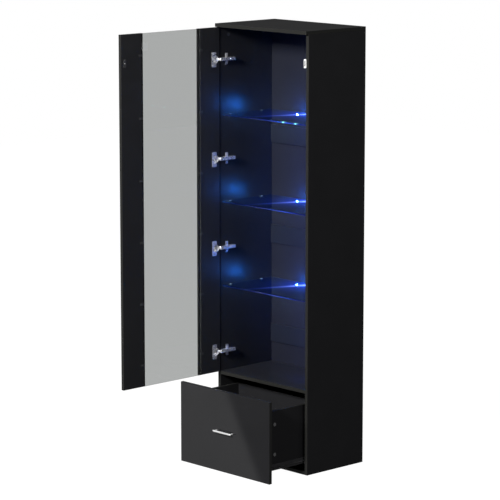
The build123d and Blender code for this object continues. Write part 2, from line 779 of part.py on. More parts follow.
rail_names = ("lower", "middle", "upper")
for name, centre, rail_cuts in zip(rail_names, rail_centres, rail_bores):
    low, high = centre - rail_height / 2, centre + rail_height / 2
    rail = panel(-inner_x, inner_x, rail_front, rail_back, low, high)
    write(f"back_rail_{name}", cut(rail, [edge_groove(high, 1), edge_groove(low, -1), *rail_cuts]))

sheet_levels = [(board, fixed_shelf_bottom)]
lower_edges = [fixed_shelf_top] + [centre + rail_height / 2 for centre in rail_centres]
upper_edges = [centre - rail_height / 2 for centre in rail_centres] + [side_top]
sheet_levels += list(zip(lower_edges, upper_edges))
sheet_names = ["back_sheet_drawer_bay"] + [f"back_sheet_bay_{i + 1}" for i in range(len(lower_edges))]
for name, (low, high) in zip(sheet_names, sheet_levels):
    reach = inner_x + sheet_bite
    write(name, block(-reach, reach, sheet_front, sheet_back, low - sheet_bite, high + sheet_bite))

write("carcass_cam_locks", *cams)
write("carcass_cam_bolts", *bolts)
write("carcass_dowels", *dowels)

# ---------------------------------------------------------------- glass shelves and light clips
shelf_names = ("lower", "middle", "upper")
glass_back = rail_front - shelf_back_play
lenses = []
for name, level in zip(shelf_names, shelf_heights):
    reach = inner_x - shelf_side_play
    low, high = level - shelf_glass / 2, level + shelf_glass / 2
    pane = block(-reach, reach, body_front + shelf_front_setback, glass_back, low, high)
    write(f"glass_shelf_{name}", fillet(pane.edges().filter_by(Axis.X), shelf_arris))
    jaw_front = glass_back - clip_reach
    body = block(
        -clip_length / 2, clip_length / 2, jaw_front, glass_back + clip_spine,
        low - clip_jaw, high + clip_jaw,
    )
    body = fillet(body.edges().filter_by(Axis.X), clip_corner)
    slot = block(
        -clip_length, clip_length, jaw_front - overrun, glass_back + clip_play,
        low - clip_play, high + clip_play,
    )
    body = body - slot
    for i in range(lens_count):
        x = (i - (lens_count - 1) / 2) * lens_pitch
        for jaw_z, direction in ((high + clip_jaw, -1), (low - clip_jaw, 1)):
            seat = (x, jaw_front + lens_inset, jaw_z)
            lens = rod(seat, (0, 0, direction), lens_radius, lens_height)
            lenses.append(lens)
            body = body - lens
    write(f"led_clip_{name}", body)
write("led_lenses", *lenses)
write("shelf_support_pins", *support_pins)
write("shelf_support_pads", *support_pads)

# ---------------------------------------------------------------- door
door_outer_face = door_closed_face - board
stile_inner = door_edge_x + stile_width
hinge_stile = panel(door_edge_x, stile_inner, door_outer_face, door_closed_face, door_bottom, door_top)
rebate_x0 = stile_inner - rebate_width
rebate = block(
    rebate_x0, stile_inner + overrun,
    door_closed_face - door_glass - rebate_play, door_closed_face + overrun,
    door_bottom - overrun, door_top + overrun,
)
free_stile = mirror_x(hinge_stile)
pane_x = -rebate_x0 - glass_edge_play
door_pane = block(
    -pane_x, pane_x, door_closed_face - door_glass, door_closed_face, door_bottom, door_top,
)

glass_clips, glass_clip_screws = [], []
clip_span, clip_width, clip_thick = glass_clip_size
clip_step = (door_top - door_bottom - 2 * glass_clip_end) / (glass_clip_rows - 1)
for row in range(glass_clip_rows):
    z = door_bottom + glass_clip_end + row * clip_step
    inner_end = -pane_x + glass_clip_bite
    outer_end = inner_end - clip_span
    clip = block(
        outer_end, inner_end, door_closed_face, door_closed_face + clip_thick,
        z - clip_width / 2, z + clip_width / 2,
    )
    clip = fillet(clip.edges().filter_by(Axis.Y), glass_clip_corner)
    screw_x = outer_end + glass_screw_inset
    seat = (screw_x, door_closed_face + clip_thick, z)
    shank = rod(seat, (0, -1, 0), glass_screw_radius, glass_screw_length)
    head = rod(seat, (0, 1, 0), glass_screw_head, glass_screw_head_height)
    bore = rod(seat, (0, -1, 0), glass_screw_radius, glass_screw_length + bore_end_play)
    clip = clip - bore
    screw = shank + head
    stile_cuts.append(bore)
    free_stile_cuts.append(mirror_x(bore))
    glass_clips.extend([opened(clip), opened(mirror_x(clip))])
    glass_clip_screws.extend([opened(screw), opened(mirror_x(screw))])

write("door_hinge_stile", opened(cut(hinge_stile, [rebate, *stile_cuts])))
write("door_free_stile", opened(cut(free_stile, [mirror_x(rebate), *free_stile_cuts])))
write("door_glass", opened(door_pane))
write("glass_clips", *glass_clips)
write("glass_clip_screws", *glass_clip_screws)
write("strike_plate", opened(strike))
write("door_wood_screws", *[opened(screw) for screw in door_screws])
write("hinge_mounting_plates", *hinge_sets["plates"])
write("hinge_arms", *hinge_sets["arms"])
write("hinge_arm_screws", *hinge_sets["arm_screws"])
write("hinge_arm_pins", *hinge_sets["arm_pins"])
write("hinge_links", *hinge_sets["links"])
write("hinge_cups", *hinge_sets["cups"])
write("hinge_cup_pins", *hinge_sets["cup_pins"])
write("catch_housing", catch)
write("catch_magnet", magnet)

# ---------------------------------------------------------------- drawer
front_x = door_width / 2
drawer_front = panel(
    -front_x, front_x, door_outer_face, door_closed_face, drawer_front_bottom, drawer_front_top,
)
sheet_low = drawer_side_bottom + drawer_sheet_height
sheet_high = sheet_low + drawer_sheet
drawer_bite = drawer_groove - groove_end_play
groove = block(
    -drawer_side_inner - drawer_groove, drawer_side_inner + drawer_groove,
    door_closed_face - drawer_groove, drawer_back_face - drawer_board + drawer_groove,
    sheet_low - groove_play, sheet_high + groove_play,
)
drawer_sheet_panel = block(
    -drawer_side_inner - drawer_bite, drawer_side_inner + drawer_bite,
    door_closed_face - drawer_bite, drawer_back_face - drawer_board + drawer_bite, sheet_low, sheet_high,
)
right_box_side = panel(
    drawer_side_inner, drawer_side_outer, door_closed_face, drawer_back_face,
    drawer_side_bottom, drawer_side_top,
)
drawer_back = panel(
    -drawer_side_inner, drawer_side_inner, drawer_back_face - drawer_board, drawer_back_face,
    drawer_side_bottom, drawer_side_top,
)

drawer_cams, drawer_bolts, front_cuts, back_cuts = [], [], [], []
box_side_middle = drawer_side_outer - drawer_board / 2
for z in drawer_cam_heights:
    cam, bolt, inner, face = cam_joint(
        (box_side_middle, door_closed_face, z), (0, 1, 0), (1, 0, 0), drawer_board / 2,
        drawer_cam_height, drawer_cam_setback,
    )
    drawer_cams.extend([cam, mirror_x(cam)])
    drawer_bolts.extend([bolt, mirror_x(bolt)])
    drawer_side_cuts.extend(inner)
    front_cuts.extend([*face, *[mirror_x(bore) for bore in face]])
for z in drawer_screw_heights:
    seat = (drawer_side_outer, drawer_back_face - drawer_board / 2, z)
    screw, bore = wood_screw(seat, (-1, 0, 0), drawer_board + drawer_screw_bite)
    drawer_screws.extend([screw, mirror_x(screw)])
    drawer_side_cuts.append(bore)
    back_cuts.extend([bore, mirror_x(bore)])

handle_z = (drawer_front_bottom + drawer_front_top) / 2
bar_depth, bar_height = handle_bar
bar_front = door_outer_face - handle_projection
bar = block(
    -handle_length / 2, handle_length / 2, bar_front, bar_front + bar_depth,
    handle_z - bar_height / 2, handle_z + bar_height / 2,
)
legs, handle_screws = [], []
for sign in (-1, 1):
    x = sign * handle_centres / 2
    legs.append(block(
        x - handle_leg_width / 2, x + handle_leg_width / 2, bar_front + bar_depth, door_outer_face,
        handle_z - handle_leg_width / 2, handle_z + handle_leg_width / 2,
    ))
    shank = rod((x, door_closed_face, handle_z), (0, -1, 0), handle_screw_radius, board + handle_screw_grip)
    head = rod((x, door_closed_face, handle_z), (0, 1, 0), handle_screw_head, handle_screw_head_height)
    handle_screws.append(shank + head)
    hole = rod((x, door_closed_face, handle_z), (0, -1, 0), handle_screw_radius + screw_hole_play, board)
    front_cuts.append(hole)
thread_bores = [
    rod((sign * handle_centres / 2, door_outer_face, handle_z), (0, -1, 0), handle_screw_radius,
        handle_screw_grip + bore_end_play)
    for sign in (-1, 1)
]
handle = cut(fuse([fillet(bar.edges(), handle_edge), *legs]), thread_bores)

right_box_side = cut(right_box_side, [groove, *drawer_side_cuts])
write("drawer_front", pulled(cut(drawer_front, [groove, *front_cuts])))
write("drawer_side_right", pulled(right_box_side))
write("drawer_side_left", pulled(mirror_x(right_box_side)))
write("drawer_back", pulled(cut(drawer_back, [groove, *back_cuts])))
write("drawer_bottom", pulled(drawer_sheet_panel))
write("drawer_cam_locks", *[pulled(cam) for cam in drawer_cams])
write("drawer_cam_bolts", *[pulled(bolt) for bolt in drawer_bolts])
write("drawer_wood_screws", *[pulled(screw) for screw in drawer_screws])
write("drawer_handle", pulled(handle))
write("drawer_handle_screws", *[pulled(screw) for screw in handle_screws])
write("drawer_runner_right", pulled(right_profile))
write("drawer_runner_left", pulled(mirror_x(right_profile)))
write("cabinet_runner_right", right_channel)
write("cabinet_runner_left", mirror_x(right_channel))
front_wheel = roller(front_roller_y, front_roller_z, cabinet_roller_radius)
rear_wheel = roller(rear_roller_y, rear_roller_z, drawer_roller_radius)
write("cabinet_rollers", front_wheel, mirror_x(front_wheel))
write("drawer_rollers", pulled(rear_wheel), pulled(mirror_x(rear_wheel)))
write("cabinet_wood_screws", *cabinet_screws)
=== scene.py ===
"""Tall display cabinet: finishes, glass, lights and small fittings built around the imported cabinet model.

Everything is in metres in the cabinet's own frame: X to the right, the front faces -Y, Z up, origin on
the floor under the middle of the cabinet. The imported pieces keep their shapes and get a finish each.
Glass, handle, light lenses and screws are replaced by finer pieces that lie in the same places.
"""

import logging
import math
from dataclasses import dataclass, field
from enum import Enum

import bmesh
import bpy
import numpy as np
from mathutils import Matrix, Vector


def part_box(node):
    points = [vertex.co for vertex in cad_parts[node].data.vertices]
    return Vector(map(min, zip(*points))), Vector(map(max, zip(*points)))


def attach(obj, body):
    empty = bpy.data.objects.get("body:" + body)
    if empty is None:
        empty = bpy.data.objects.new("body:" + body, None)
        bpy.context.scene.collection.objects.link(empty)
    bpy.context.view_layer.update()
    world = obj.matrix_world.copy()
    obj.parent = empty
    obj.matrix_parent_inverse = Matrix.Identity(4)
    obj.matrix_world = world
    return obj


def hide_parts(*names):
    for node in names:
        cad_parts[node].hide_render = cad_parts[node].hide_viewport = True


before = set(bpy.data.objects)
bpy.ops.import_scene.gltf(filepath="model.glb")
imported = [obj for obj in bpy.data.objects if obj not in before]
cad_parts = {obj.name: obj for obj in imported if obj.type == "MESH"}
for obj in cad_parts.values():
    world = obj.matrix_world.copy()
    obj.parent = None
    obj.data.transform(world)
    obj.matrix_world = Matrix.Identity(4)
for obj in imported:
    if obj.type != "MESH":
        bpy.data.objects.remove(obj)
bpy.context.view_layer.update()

LOG = logging.getLogger("cabinet")

Colour = tuple[float, float, float]
Point = tuple[float, float, float]
Socket = bpy.types.NodeSocket


# ---------------------------------------------------------------- named options
class Axis(Enum):
    """An axis of the frame, by its index."""

    X = 0
    Y = 1
    Z = 2

    def unit(self) -> Point:
        """The unit vector along this axis."""
        return tuple(1.0 if i == self.value else 0.0 for i in range(3))


class Skin(Enum):
    """How fine and how deep the surface texture of a finish is: cells per metre, bump depth in metres."""

    MELAMINE = (1400.0, 0.00005)
    LACQUER = (160.0, 0.000012)
    HARDBOARD = (900.0, 0.00006)
    MOULDED = (2200.0, 0.00003)
    PRESSED = (500.0, 0.00002)
    CAST = (1200.0, 0.00004)


# ---------------------------------------------------------------- node helpers
@dataclass
class Sheet:
    """A node tree with short ways to place nodes and join them.

    Fields:
        tree: the material's or the group's node tree.
    """

    tree: bpy.types.NodeTree

    def place(self, kind: str, **settings: object) -> bpy.types.Node:
        """Place a node and set its properties.

        Args:
            kind: Blender's node type name, without the ShaderNode prefix.
            settings: attributes of the node.
        Returns:
            The new node.
        """
        node = self.tree.nodes.new("ShaderNode" + kind)
        for name, value in settings.items():
            setattr(node, name, value)
        return node

    def feed(self, value: object, target: Socket) -> None:
        """Join a socket to the target, or set the target to a plain value.

        Args:
            value: a socket, or a plain value.
            target: the socket that takes it.
        """
        if isinstance(value, Socket):
            self.tree.links.new(value, target)
        else:
            target.default_value = value

    def math(self, operation: str, *values: object, clamp: bool = False) -> Socket:
        """The result of one arithmetic node.

        Args:
            operation: the Math node's operation.
            values: sockets or numbers, in the node's order.
            clamp: keep the result between 0 and 1.
        Returns:
            The node's output socket.
        """
        node = self.place("Math", operation=operation, use_clamp=clamp)
        for value, target in zip(values, node.inputs):
            self.feed(value, target)
        return node.outputs[0]

    def times(self, first: object, second: object, clamp: bool = False) -> Socket:
        """The product of two numbers."""
        return self.math("MULTIPLY", first, second, clamp=clamp)

    def plus(self, first: object, second: object, clamp: bool = False) -> Socket:
        """The sum of two numbers."""
        return self.math("ADD", first, second, clamp=clamp)

    def rest_of(self, share: object, clamp: bool = False) -> Socket:
        """What is left of 1 once a share is taken away."""
        return self.math("SUBTRACT", 1.0, share, clamp=clamp)

    def decay(self, distance: object) -> Socket:
        """e to the power of minus a distance."""
        return self.math("EXPONENT", self.times(distance, -1.0))

    def coords(self, kind: str = "Object") -> Socket:
        """The shaded point's place, or another of the Texture Coordinate node's outputs."""
        return self.place("TexCoord").outputs[kind]

    def vector(self, operation: str, *values: object, output: str = "Vector") -> Socket:
        """The result of one vector arithmetic node, from the named output.

        Args:
            operation: the Vector Math node's operation.
            values: sockets or vectors, in the node's order.
            output: the name of the output.
        Returns:
            The named output socket.
        """
        node = self.place("VectorMath", operation=operation)
        for value, target in zip(values, node.inputs):
            self.feed(value, target)
        return node.outputs[output]

    def step(self, value: object, low: float, high: float) -> Socket:
        """A smooth 0 to 1 step as value goes from low to high.

        Args:
            value: the number to follow.
            low: where the step starts.
            high: where it ends, below low for a step that goes down.
        Returns:
            The step's socket.
        """
        node = self.place("MapRange", interpolation_type="SMOOTHSTEP")
        self.feed(value, node.inputs["Value"])
        self.settle(node, From_Min=low, From_Max=high)
        return node.outputs["Result"]

    def blend(self, share: object, first: object, second: object) -> Socket:
        """The colour that goes from first to second as share goes from 0 to 1.

        Args:
            share: the share of the second colour.
            first: a colour or its socket.
            second: a colour or its socket.
        Returns:
            The colour's socket.
        """
        node = self.place("Mix", data_type="RGBA")
        for value, index in ((share, 0), (first, 6), (second, 7)):
            if isinstance(value, tuple) and len(value) == 3:
                value = (*value, 1.0)
            self.feed(value, node.inputs[index])
        return node.outputs[2]

    def between(self, share: object, first: object, second: object) -> Socket:
        """The number that goes from first to second as share goes from 0 to 1.

        Args:
            share: the share of the second number.
            first: a number or its socket.
            second: a number or its socket.
        Returns:
            The number's socket.
        """
        node = self.place("Mix", data_type="FLOAT")
        for value, index in ((share, 0), (first, 2), (second, 3)):
            self.feed(value, node.inputs[index])
        return node.outputs[0]

    @staticmethod
    def settle(node: bpy.types.Node, **values: object) -> None:
        """Set a node's own sockets to plain values, by name with underscores for spaces."""
        for name, value in values.items():
            node.inputs[name.replace("_", " ")].default_value = value

    def noise(self, place: object, scale: object, detail: float = 2.0, rough: float = 0.5) -> Socket:
        """Smooth noise from 0 to 1 at a place, with scale cells per metre.

        Args:
            place: the place's socket.
            scale: cells per metre.
            detail: how many finer layers there are.
            rough: how strong each layer is.
        Returns:
            The noise's socket.
        """
        node = self.place("TexNoise", noise_dimensions="3D")
        self.feed(place, node.inputs["Vector"])
        self.feed(scale, node.inputs["Scale"])
        self.settle(node, Detail=detail, Roughness=rough)
        return node.outputs["Fac"]


class Effect:
    """A surface effect that finishes share: a node group with named inputs and outputs, built once."""

    title = "effect"
    inputs: dict[str, tuple[str, object]] = {}
    outputs: dict[str, str] = {}

    def draw(self, sheet: Sheet, given: dict[str, Socket]) -> dict[str, Socket]:
        """Lay out the group's nodes.

        Args:
            sheet: the group's tree.
            given: the group's input sockets by name.
        Returns:
            The socket for each output name.
        """
        raise NotImplementedError

    def group(self) -> bpy.types.NodeTree:
        """The node group, made at its first use.

        Returns:
            The tree that every use shares.
        """
        found = bpy.data.node_groups.get(self.title)
        if found:
            return found
        tree = bpy.data.node_groups.new(self.title, "ShaderNodeTree")
        for name, (kind, value) in self.inputs.items():
            socket = tree.interface.new_socket(name, in_out="INPUT", socket_type=kind)
            socket.default_value = value
        for name, kind in self.outputs.items():
            tree.interface.new_socket(name, in_out="OUTPUT", socket_type=kind)
        sheet = Sheet(tree)
        start = tree.nodes.new("NodeGroupInput")
        end = tree.nodes.new("NodeGroupOutput")
        made = self.draw(sheet, {name: start.outputs[name] for name in self.inputs})
        for name, value in made.items():
            sheet.feed(value, end.inputs[name])
        return tree

    def use(self, sheet: Sheet, **values: object) -> dict[str, Socket]:
        """Place the group in a material.

        Args:
            sheet: the material's tree.
            values: input values by name, with underscores for spaces.
        Returns:
            The group's outputs by name.
        """
        node = sheet.place("Group", node_tree=self.group())
        for name, value in values.items():
            sheet.feed(value, node.inputs[name.replace("_", " ")])
        return {name: node.outputs[name] for name in self.outputs}


class SurfaceGrain(Effect):
    """The fine texture of a pressed, moulded or printed surface, and its broad unevenness."""

    title = "surface_grain"
    inputs = {"Cells": ("NodeSocketFloat", 1000.0), "Stretch": ("NodeSocketVector", (1.0, 1.0, 1.0))}
    outputs = {"Height": "NodeSocketFloat", "Cloud": "NodeSocketFloat", "Speck": "NodeSocketFloat"}

    def draw(self, sheet: Sheet, given: dict[str, Socket]) -> dict[str, Socket]:
        """Height: fine noise plus cell walls. Cloud: noise some 150 mm wide. Speck: sparse fine dots.

        Args:
            sheet: the group's tree.
            given: the group's input sockets by name.
        Returns:
            The socket for each output name.
        """
        place = sheet.coords()
        pulled = sheet.vector("MULTIPLY", place, given["Stretch"])
        fine = sheet.noise(pulled, given["Cells"], 3.0, 0.6)
        cells = sheet.place("TexVoronoi", feature="SMOOTH_F1")
        sheet.feed(pulled, cells.inputs["Vector"])
        sheet.feed(given["Cells"], cells.inputs["Scale"])
        height = sheet.plus(sheet.times(fine, 0.6), sheet.times(cells.outputs["Distance"], 0.4))
        cloud = sheet.noise(place, 6.5, 4.0, 0.55)
        speck = sheet.step(sheet.noise(place, sheet.times(given["Cells"], 0.35), 1.0), 0.68, 0.78)
        return {"Height": height, "Cloud": cloud, "Speck": speck}


class EdgeWearAndHighlight(Effect):
    """Where a corner has been rubbed, and where a highlight is painted along the edges: the share by which a
    rounded normal turns away from the real one.
    """

    title = "edge_wear_and_highlight"
    inputs = {"Radius": ("NodeSocketFloat", 0.002), "Amount": ("NodeSocketFloat", 1.0)}
    outputs = {"Mask": "NodeSocketFloat"}

    def draw(self, sheet: Sheet, given: dict[str, Socket]) -> dict[str, Socket]:
        """Mask = amount x (1 - rounded normal . normal), broken up by noise of 12 mm.

        Args:
            sheet: the group's tree.
            given: the group's input sockets by name.
        Returns:
            The socket for each output name.
        """
        rounded = sheet.place("Bevel", samples=4)
        sheet.feed(given["Radius"], rounded.inputs["Radius"])
        real = sheet.place("NewGeometry").outputs["Normal"]
        facing = sheet.vector("DOT_PRODUCT", rounded.outputs["Normal"], real, output="Value")
        turned = sheet.step(sheet.rest_of(facing), 0.03, 0.22)
        patchy = sheet.noise(sheet.coords(), 85.0, 4.0, 0.6)
        worn_and_highlight = sheet.times(turned, sheet.step(patchy, 0.35, 0.7))
        return {"Mask": sheet.times(worn_and_highlight, given["Amount"], clamp=True)}


class HandlingMarks(Effect):
    """Faint wiped smears and resting dust."""

    title = "handling_marks"
    inputs = {"Amount": ("NodeSocketFloat", 1.0)}
    outputs = {"Smear": "NodeSocketFloat", "Dust": "NodeSocketFloat"}

    def draw(self, sheet: Sheet, given: dict[str, Socket]) -> dict[str, Socket]:
        """Smear: noise stretched along a slant. Dust: fine specks on faces that look upward.

        Args:
            sheet: the group's tree.
            given: the group's input sockets by name.
        Returns:
            The socket for each output name.
        """
        coords = sheet.place("TexCoord")
        slant = sheet.place("Mapping")
        sheet.settle(slant, Rotation=(0.4, 0.9, 0.3), Scale=(7.0, 7.0, 26.0))
        sheet.feed(coords.outputs["Object"], slant.inputs["Vector"])
        smear = sheet.step(sheet.noise(slant.outputs["Vector"], 1.0, 5.0, 0.6), 0.45, 0.75)
        parts = sheet.place("SeparateXYZ")
        sheet.feed(coords.outputs["Normal"], parts.inputs[0])
        upward = sheet.step(parts.outputs["Z"], 0.6, 0.98)
        specks = sheet.step(sheet.noise(coords.outputs["Object"], 900.0, 2.0), 0.56, 0.72)
        return {
            "Smear": sheet.times(smear, given["Amount"]),
            "Dust": sheet.times(sheet.times(upward, specks), given["Amount"]),
        }


class Lipping(Effect):
    """Marks the glued-on edge strips of a board: the faces that don't look along its thin axis."""

    title = "lipping"
    inputs = {"Thin axis": ("NodeSocketVector", (1.0, 0.0, 0.0))}
    outputs = {"Edge": "NodeSocketFloat", "Front side": "NodeSocketFloat"}

    def draw(self, sheet: Sheet, given: dict[str, Socket]) -> dict[str, Socket]:
        """Edge = 1 - |normal . thin axis|. Front side: 1 on the face that looks against the thin axis.

        Args:
            sheet: the group's tree.
            given: the group's input sockets by name.
        Returns:
            The socket for each output name.
        """
        normal = sheet.coords("Normal")
        along = sheet.vector("DOT_PRODUCT", normal, given["Thin axis"], output="Value")
        edge = sheet.step(sheet.rest_of(sheet.math("ABSOLUTE", along)), 0.5, 0.8)
        return {"Edge": edge, "Front side": sheet.step(sheet.times(along, -1.0), 0.6, 0.9)}


class PaintedLampGlow(Effect):
    """Painted lamp light: how strongly a lamp at a point is painted as lighting the glass or plastic around
    it, as a mask for emission.
    """

    title = "lamp_falloff"
    inputs = {"Centre": ("NodeSocketVector", (0.0, 0.0, 0.0)), "Reach": ("NodeSocketFloat", 0.1)}
    outputs = {"Glow": "NodeSocketFloat"}

    def draw(self, sheet: Sheet, given: dict[str, Socket]) -> dict[str, Socket]:
        """Glow = e to the power of -(distance / reach)."""
        distance = sheet.vector("DISTANCE", sheet.coords(), given["Centre"], output="Value")
        return {"Glow": sheet.decay(sheet.math("DIVIDE", distance, given["Reach"]))}


# ---------------------------------------------------------------- finishes
@dataclass(frozen=True)
class Finish:
    """One finish: a name, a colour and a roughness, made into a material by make().

    Fields:
        title: the material's name.
        colour: the base colour, linear.
        rough: the middle roughness.
        skin: the fine texture.
    """

    title: str
    colour: Colour
    rough: float
    skin: Skin

    def shade(self, sheet: Sheet, shader: bpy.types.Node) -> None:
        """Lay out the nodes that feed the shader."""
        raise NotImplementedError

    def make(self) -> bpy.types.Material:
        """The material, made at its first use.

        Returns:
            The material that every piece of this finish shares.
        """
        found = bpy.data.materials.get(self.title)
        if found:
            return found
        material = bpy.data.materials.new(self.title)
        material.use_nodes = True
        material.node_tree.nodes.clear()
        sheet = Sheet(material.node_tree)
        shader = sheet.place("BsdfPrincipled")
        end = sheet.place("OutputMaterial")
        sheet.feed(shader.outputs["BSDF"], end.inputs["Surface"])
        material.diffuse_color = (*self.colour, 1.0)
        self.shade(sheet, shader)
        return material

    def bump(
        self,
        sheet: Sheet,
        shader: bpy.types.Node,
        height: Socket,
        strength: float = 1.0,
        under: Socket | None = None,
    ) -> None:
        """Turn a height into the shader's normal, at this skin's depth.

        Args:
            sheet: the material's tree.
            shader: the surface shader.
            height: the height to follow, 0 to 1.
            strength: a share of the full effect.
            under: the normal to start from, if not the surface's own.
        """
        node = sheet.place("Bump")
        if under:
            sheet.feed(under, node.inputs["Normal"])
        sheet.settle(node, Strength=strength, Distance=self.skin.value[1])
        sheet.feed(height, node.inputs["Height"])
        sheet.feed(node.outputs["Normal"], shader.inputs["Normal"])

    def dark(self, share: float) -> Colour:
        """The base colour times a share."""
        return tuple(c * share for c in self.colour)


@dataclass(frozen=True)
class BoardFinish(Finish):
    """Melamine-faced board with edge strips.

    Fields:
        thin: the axis across the board.
        lip: the edge strips' colour.
        gloss_front: the face that looks against the thin axis is high gloss.
        worn_and_highlight: the colour at rubbed corners, which also serves as a painted highlight along the
            edges.
        sheen: the specular level.
    """

    thin: Axis = Axis.X
    lip: Colour = (0.0125, 0.0125, 0.0118)
    gloss_front: bool = False
    worn_and_highlight: Colour = (0.055, 0.052, 0.05)
    sheen: float = 0.22

    def shade(self, sheet: Sheet, shader: bpy.types.Node) -> None:
        """Printed face, lighter edge strips, rubbed corners that also carry a painted edge highlight, pores
        and faint dust.

        Args:
            sheet: the material's tree.
            shader: the surface shader.
        """
        grain = SurfaceGrain().use(sheet, Cells=self.skin.value[0])
        # The edge mask paints rubbed corners and also a highlight along the board's edges.
        wear_and_highlight = EdgeWearAndHighlight().use(sheet, Radius=0.0012, Amount=0.5)["Mask"]
        marks = HandlingMarks().use(sheet, Amount=0.7)
        strip = Lipping().use(sheet, Thin_axis=self.thin.unit())
        face = sheet.blend(grain["Cloud"], self.dark(0.86), self.dark(1.16))
        face = sheet.blend(sheet.times(grain["Speck"], 0.35), face, self.dark(1.7))
        lipped = sheet.blend(strip["Edge"], face, self.lip)
        dusted = sheet.blend(sheet.times(marks["Dust"], 0.05), lipped, (0.3, 0.29, 0.27))
        sheet.feed(sheet.blend(wear_and_highlight, dusted, self.worn_and_highlight), shader.inputs["Base Color"])
        matt = sheet.between(grain["Cloud"], self.rough - 0.03, self.rough + 0.04)
        matt = sheet.between(marks["Smear"], matt, self.rough + 0.09)
        height = grain["Height"]
        if self.gloss_front:
            shiny = sheet.between(marks["Smear"], 0.02, 0.03)
            matt = sheet.between(strip["Front side"], matt, shiny)
            calm = sheet.rest_of(sheet.times(strip["Front side"], 0.985))
            height = sheet.times(height, calm)
        sheet.feed(matt, shader.inputs["Roughness"])
        sheet.settle(shader, Specular_IOR_Level=self.sheen)
        self.bump(sheet, shader, height)


@dataclass(frozen=True)
class HardboardFinish(Finish):
    """Thin pressed-fibre sheet, printed on its front and raw and meshed on its back.

    Fields:
        raw: the colour of the unprinted fibre.
        wire: bands per metre of the press wire's weave.
    """

    raw: Colour = (0.045, 0.034, 0.026)
    wire: float = 210.0

    def shade(self, sheet: Sheet, shader: bpy.types.Node) -> None:
        """The front is smooth and dark, the back has the weave of the press wire.

        Args:
            sheet: the material's tree.
            shader: the surface shader.
        """
        grain = SurfaceGrain().use(sheet, Cells=self.skin.value[0])
        # The edge mask paints rubbed corners and also a highlight along the sheet's edges.
        wear_and_highlight = EdgeWearAndHighlight().use(sheet, Radius=0.001, Amount=0.4)["Mask"]
        side = Lipping().use(sheet, Thin_axis=Axis.Y.unit())
        front = sheet.blend(grain["Cloud"], self.dark(0.88), self.dark(1.12))
        fibre = sheet.blend(grain["Height"], self.raw, tuple(c * 1.7 for c in self.raw))
        colour = sheet.blend(side["Front side"], fibre, front)
        sheet.feed(sheet.blend(wear_and_highlight, colour, (0.09, 0.07, 0.05)), shader.inputs["Base Color"])
        wire = sheet.place("TexWave", wave_type="BANDS", bands_direction="DIAGONAL")
        sheet.feed(sheet.coords(), wire.inputs["Vector"])
        sheet.settle(wire, Scale=self.wire)
        weave = sheet.between(side["Front side"], wire.outputs["Fac"], 0.0)
        sheet.feed(sheet.between(side["Front side"], 0.75, self.rough), shader.inputs["Roughness"])
        sheet.settle(shader, Specular_IOR_Level=0.1)
        self.bump(sheet, shader, sheet.plus(grain["Height"], weave))


@dataclass(frozen=True)
class MetalFinish(Finish):
    """Plated, cast or painted metal.

    Fields:
        metallic: 1 for bare or plated metal, 0 for paint.
        stretch: how the texture is pulled out along each axis, for drawn or brushed metal.
        worn_and_highlight: the colour at rubbed corners, which also serves as a painted highlight along the
            edges.
        round_edges: the radius that sharp corners are shaded with.
    """

    metallic: float = 1.0
    stretch: Point = (1.0, 1.0, 1.0)
    worn_and_highlight: Colour = (0.85, 0.85, 0.86)
    round_edges: float = 0.0009

    def shade(self, sheet: Sheet, shader: bpy.types.Node) -> None:
        """Uneven plating, drawing lines, rubbed corners that also carry a painted edge highlight, and a few
        dull smears.

        Args:
            sheet: the material's tree.
            shader: the surface shader.
        """
        grain = SurfaceGrain().use(sheet, Cells=self.skin.value[0], Stretch=self.stretch)
        # The edge mask paints rubbed corners and also a highlight along the metal's edges.
        wear_and_highlight = EdgeWearAndHighlight().use(sheet, Radius=0.0006, Amount=0.8)["Mask"]
        marks = HandlingMarks().use(sheet, Amount=1.0)
        plate = sheet.blend(grain["Cloud"], self.dark(0.9), self.dark(1.05))
        plate = sheet.blend(sheet.times(grain["Speck"], 0.3), plate, self.dark(0.6))
        sheet.feed(sheet.blend(wear_and_highlight, plate, self.worn_and_highlight), shader.inputs["Base Color"])
        sheet.settle(shader, Metallic=self.metallic)
        lines = sheet.between(grain["Height"], self.rough - 0.06, self.rough + 0.06)
        dull = sheet.between(marks["Smear"], lines, self.rough + 0.12)
        sheet.feed(sheet.between(wear_and_highlight, dull, self.rough * 0.7), shader.inputs["Roughness"])
        rounded = sheet.place("Bevel", samples=6)
        sheet.settle(rounded, Radius=self.round_edges)
        self.bump(sheet, shader, grain["Height"], under=rounded.outputs["Normal"])


@dataclass(frozen=True)
class PlasticFinish(Finish):
    """Moulded plastic, nylon or rubber, opaque or letting light through.

    Fields:
        clear: how much light passes through.
        edge: the lighter colour on thin corners, partly wear and partly a painted edge highlight.
    """

    clear: float = 0.0
    edge: Colour = (0.9, 0.9, 0.9)

    def shade(self, sheet: Sheet, shader: bpy.types.Node) -> None:
        """Spark-eroded mould texture, paler corners that are partly wear and partly a painted edge highlight,
        and light dust.

        Args:
            sheet: the material's tree.
            shader: the surface shader.
        """
        grain = SurfaceGrain().use(sheet, Cells=self.skin.value[0])
        # The edge mask paints rubbed corners and also a highlight along the moulding's edges.
        wear_and_highlight = EdgeWearAndHighlight().use(sheet, Radius=0.0008, Amount=0.45)["Mask"]
        marks = HandlingMarks().use(sheet, Amount=0.6)
        body = sheet.blend(grain["Cloud"], self.dark(0.93), self.dark(1.04))
        dusty = sheet.blend(sheet.times(marks["Dust"], 0.15), body, (0.5, 0.48, 0.45))
        sheet.feed(sheet.blend(wear_and_highlight, dusty, self.edge), shader.inputs["Base Color"])
        uneven = sheet.between(grain["Height"], self.rough - 0.07, self.rough + 0.07)
        sheet.feed(uneven, shader.inputs["Roughness"])
        sheet.settle(shader, Transmission_Weight=self.clear, IOR=1.49)
        self.bump(sheet, shader, grain["Height"])


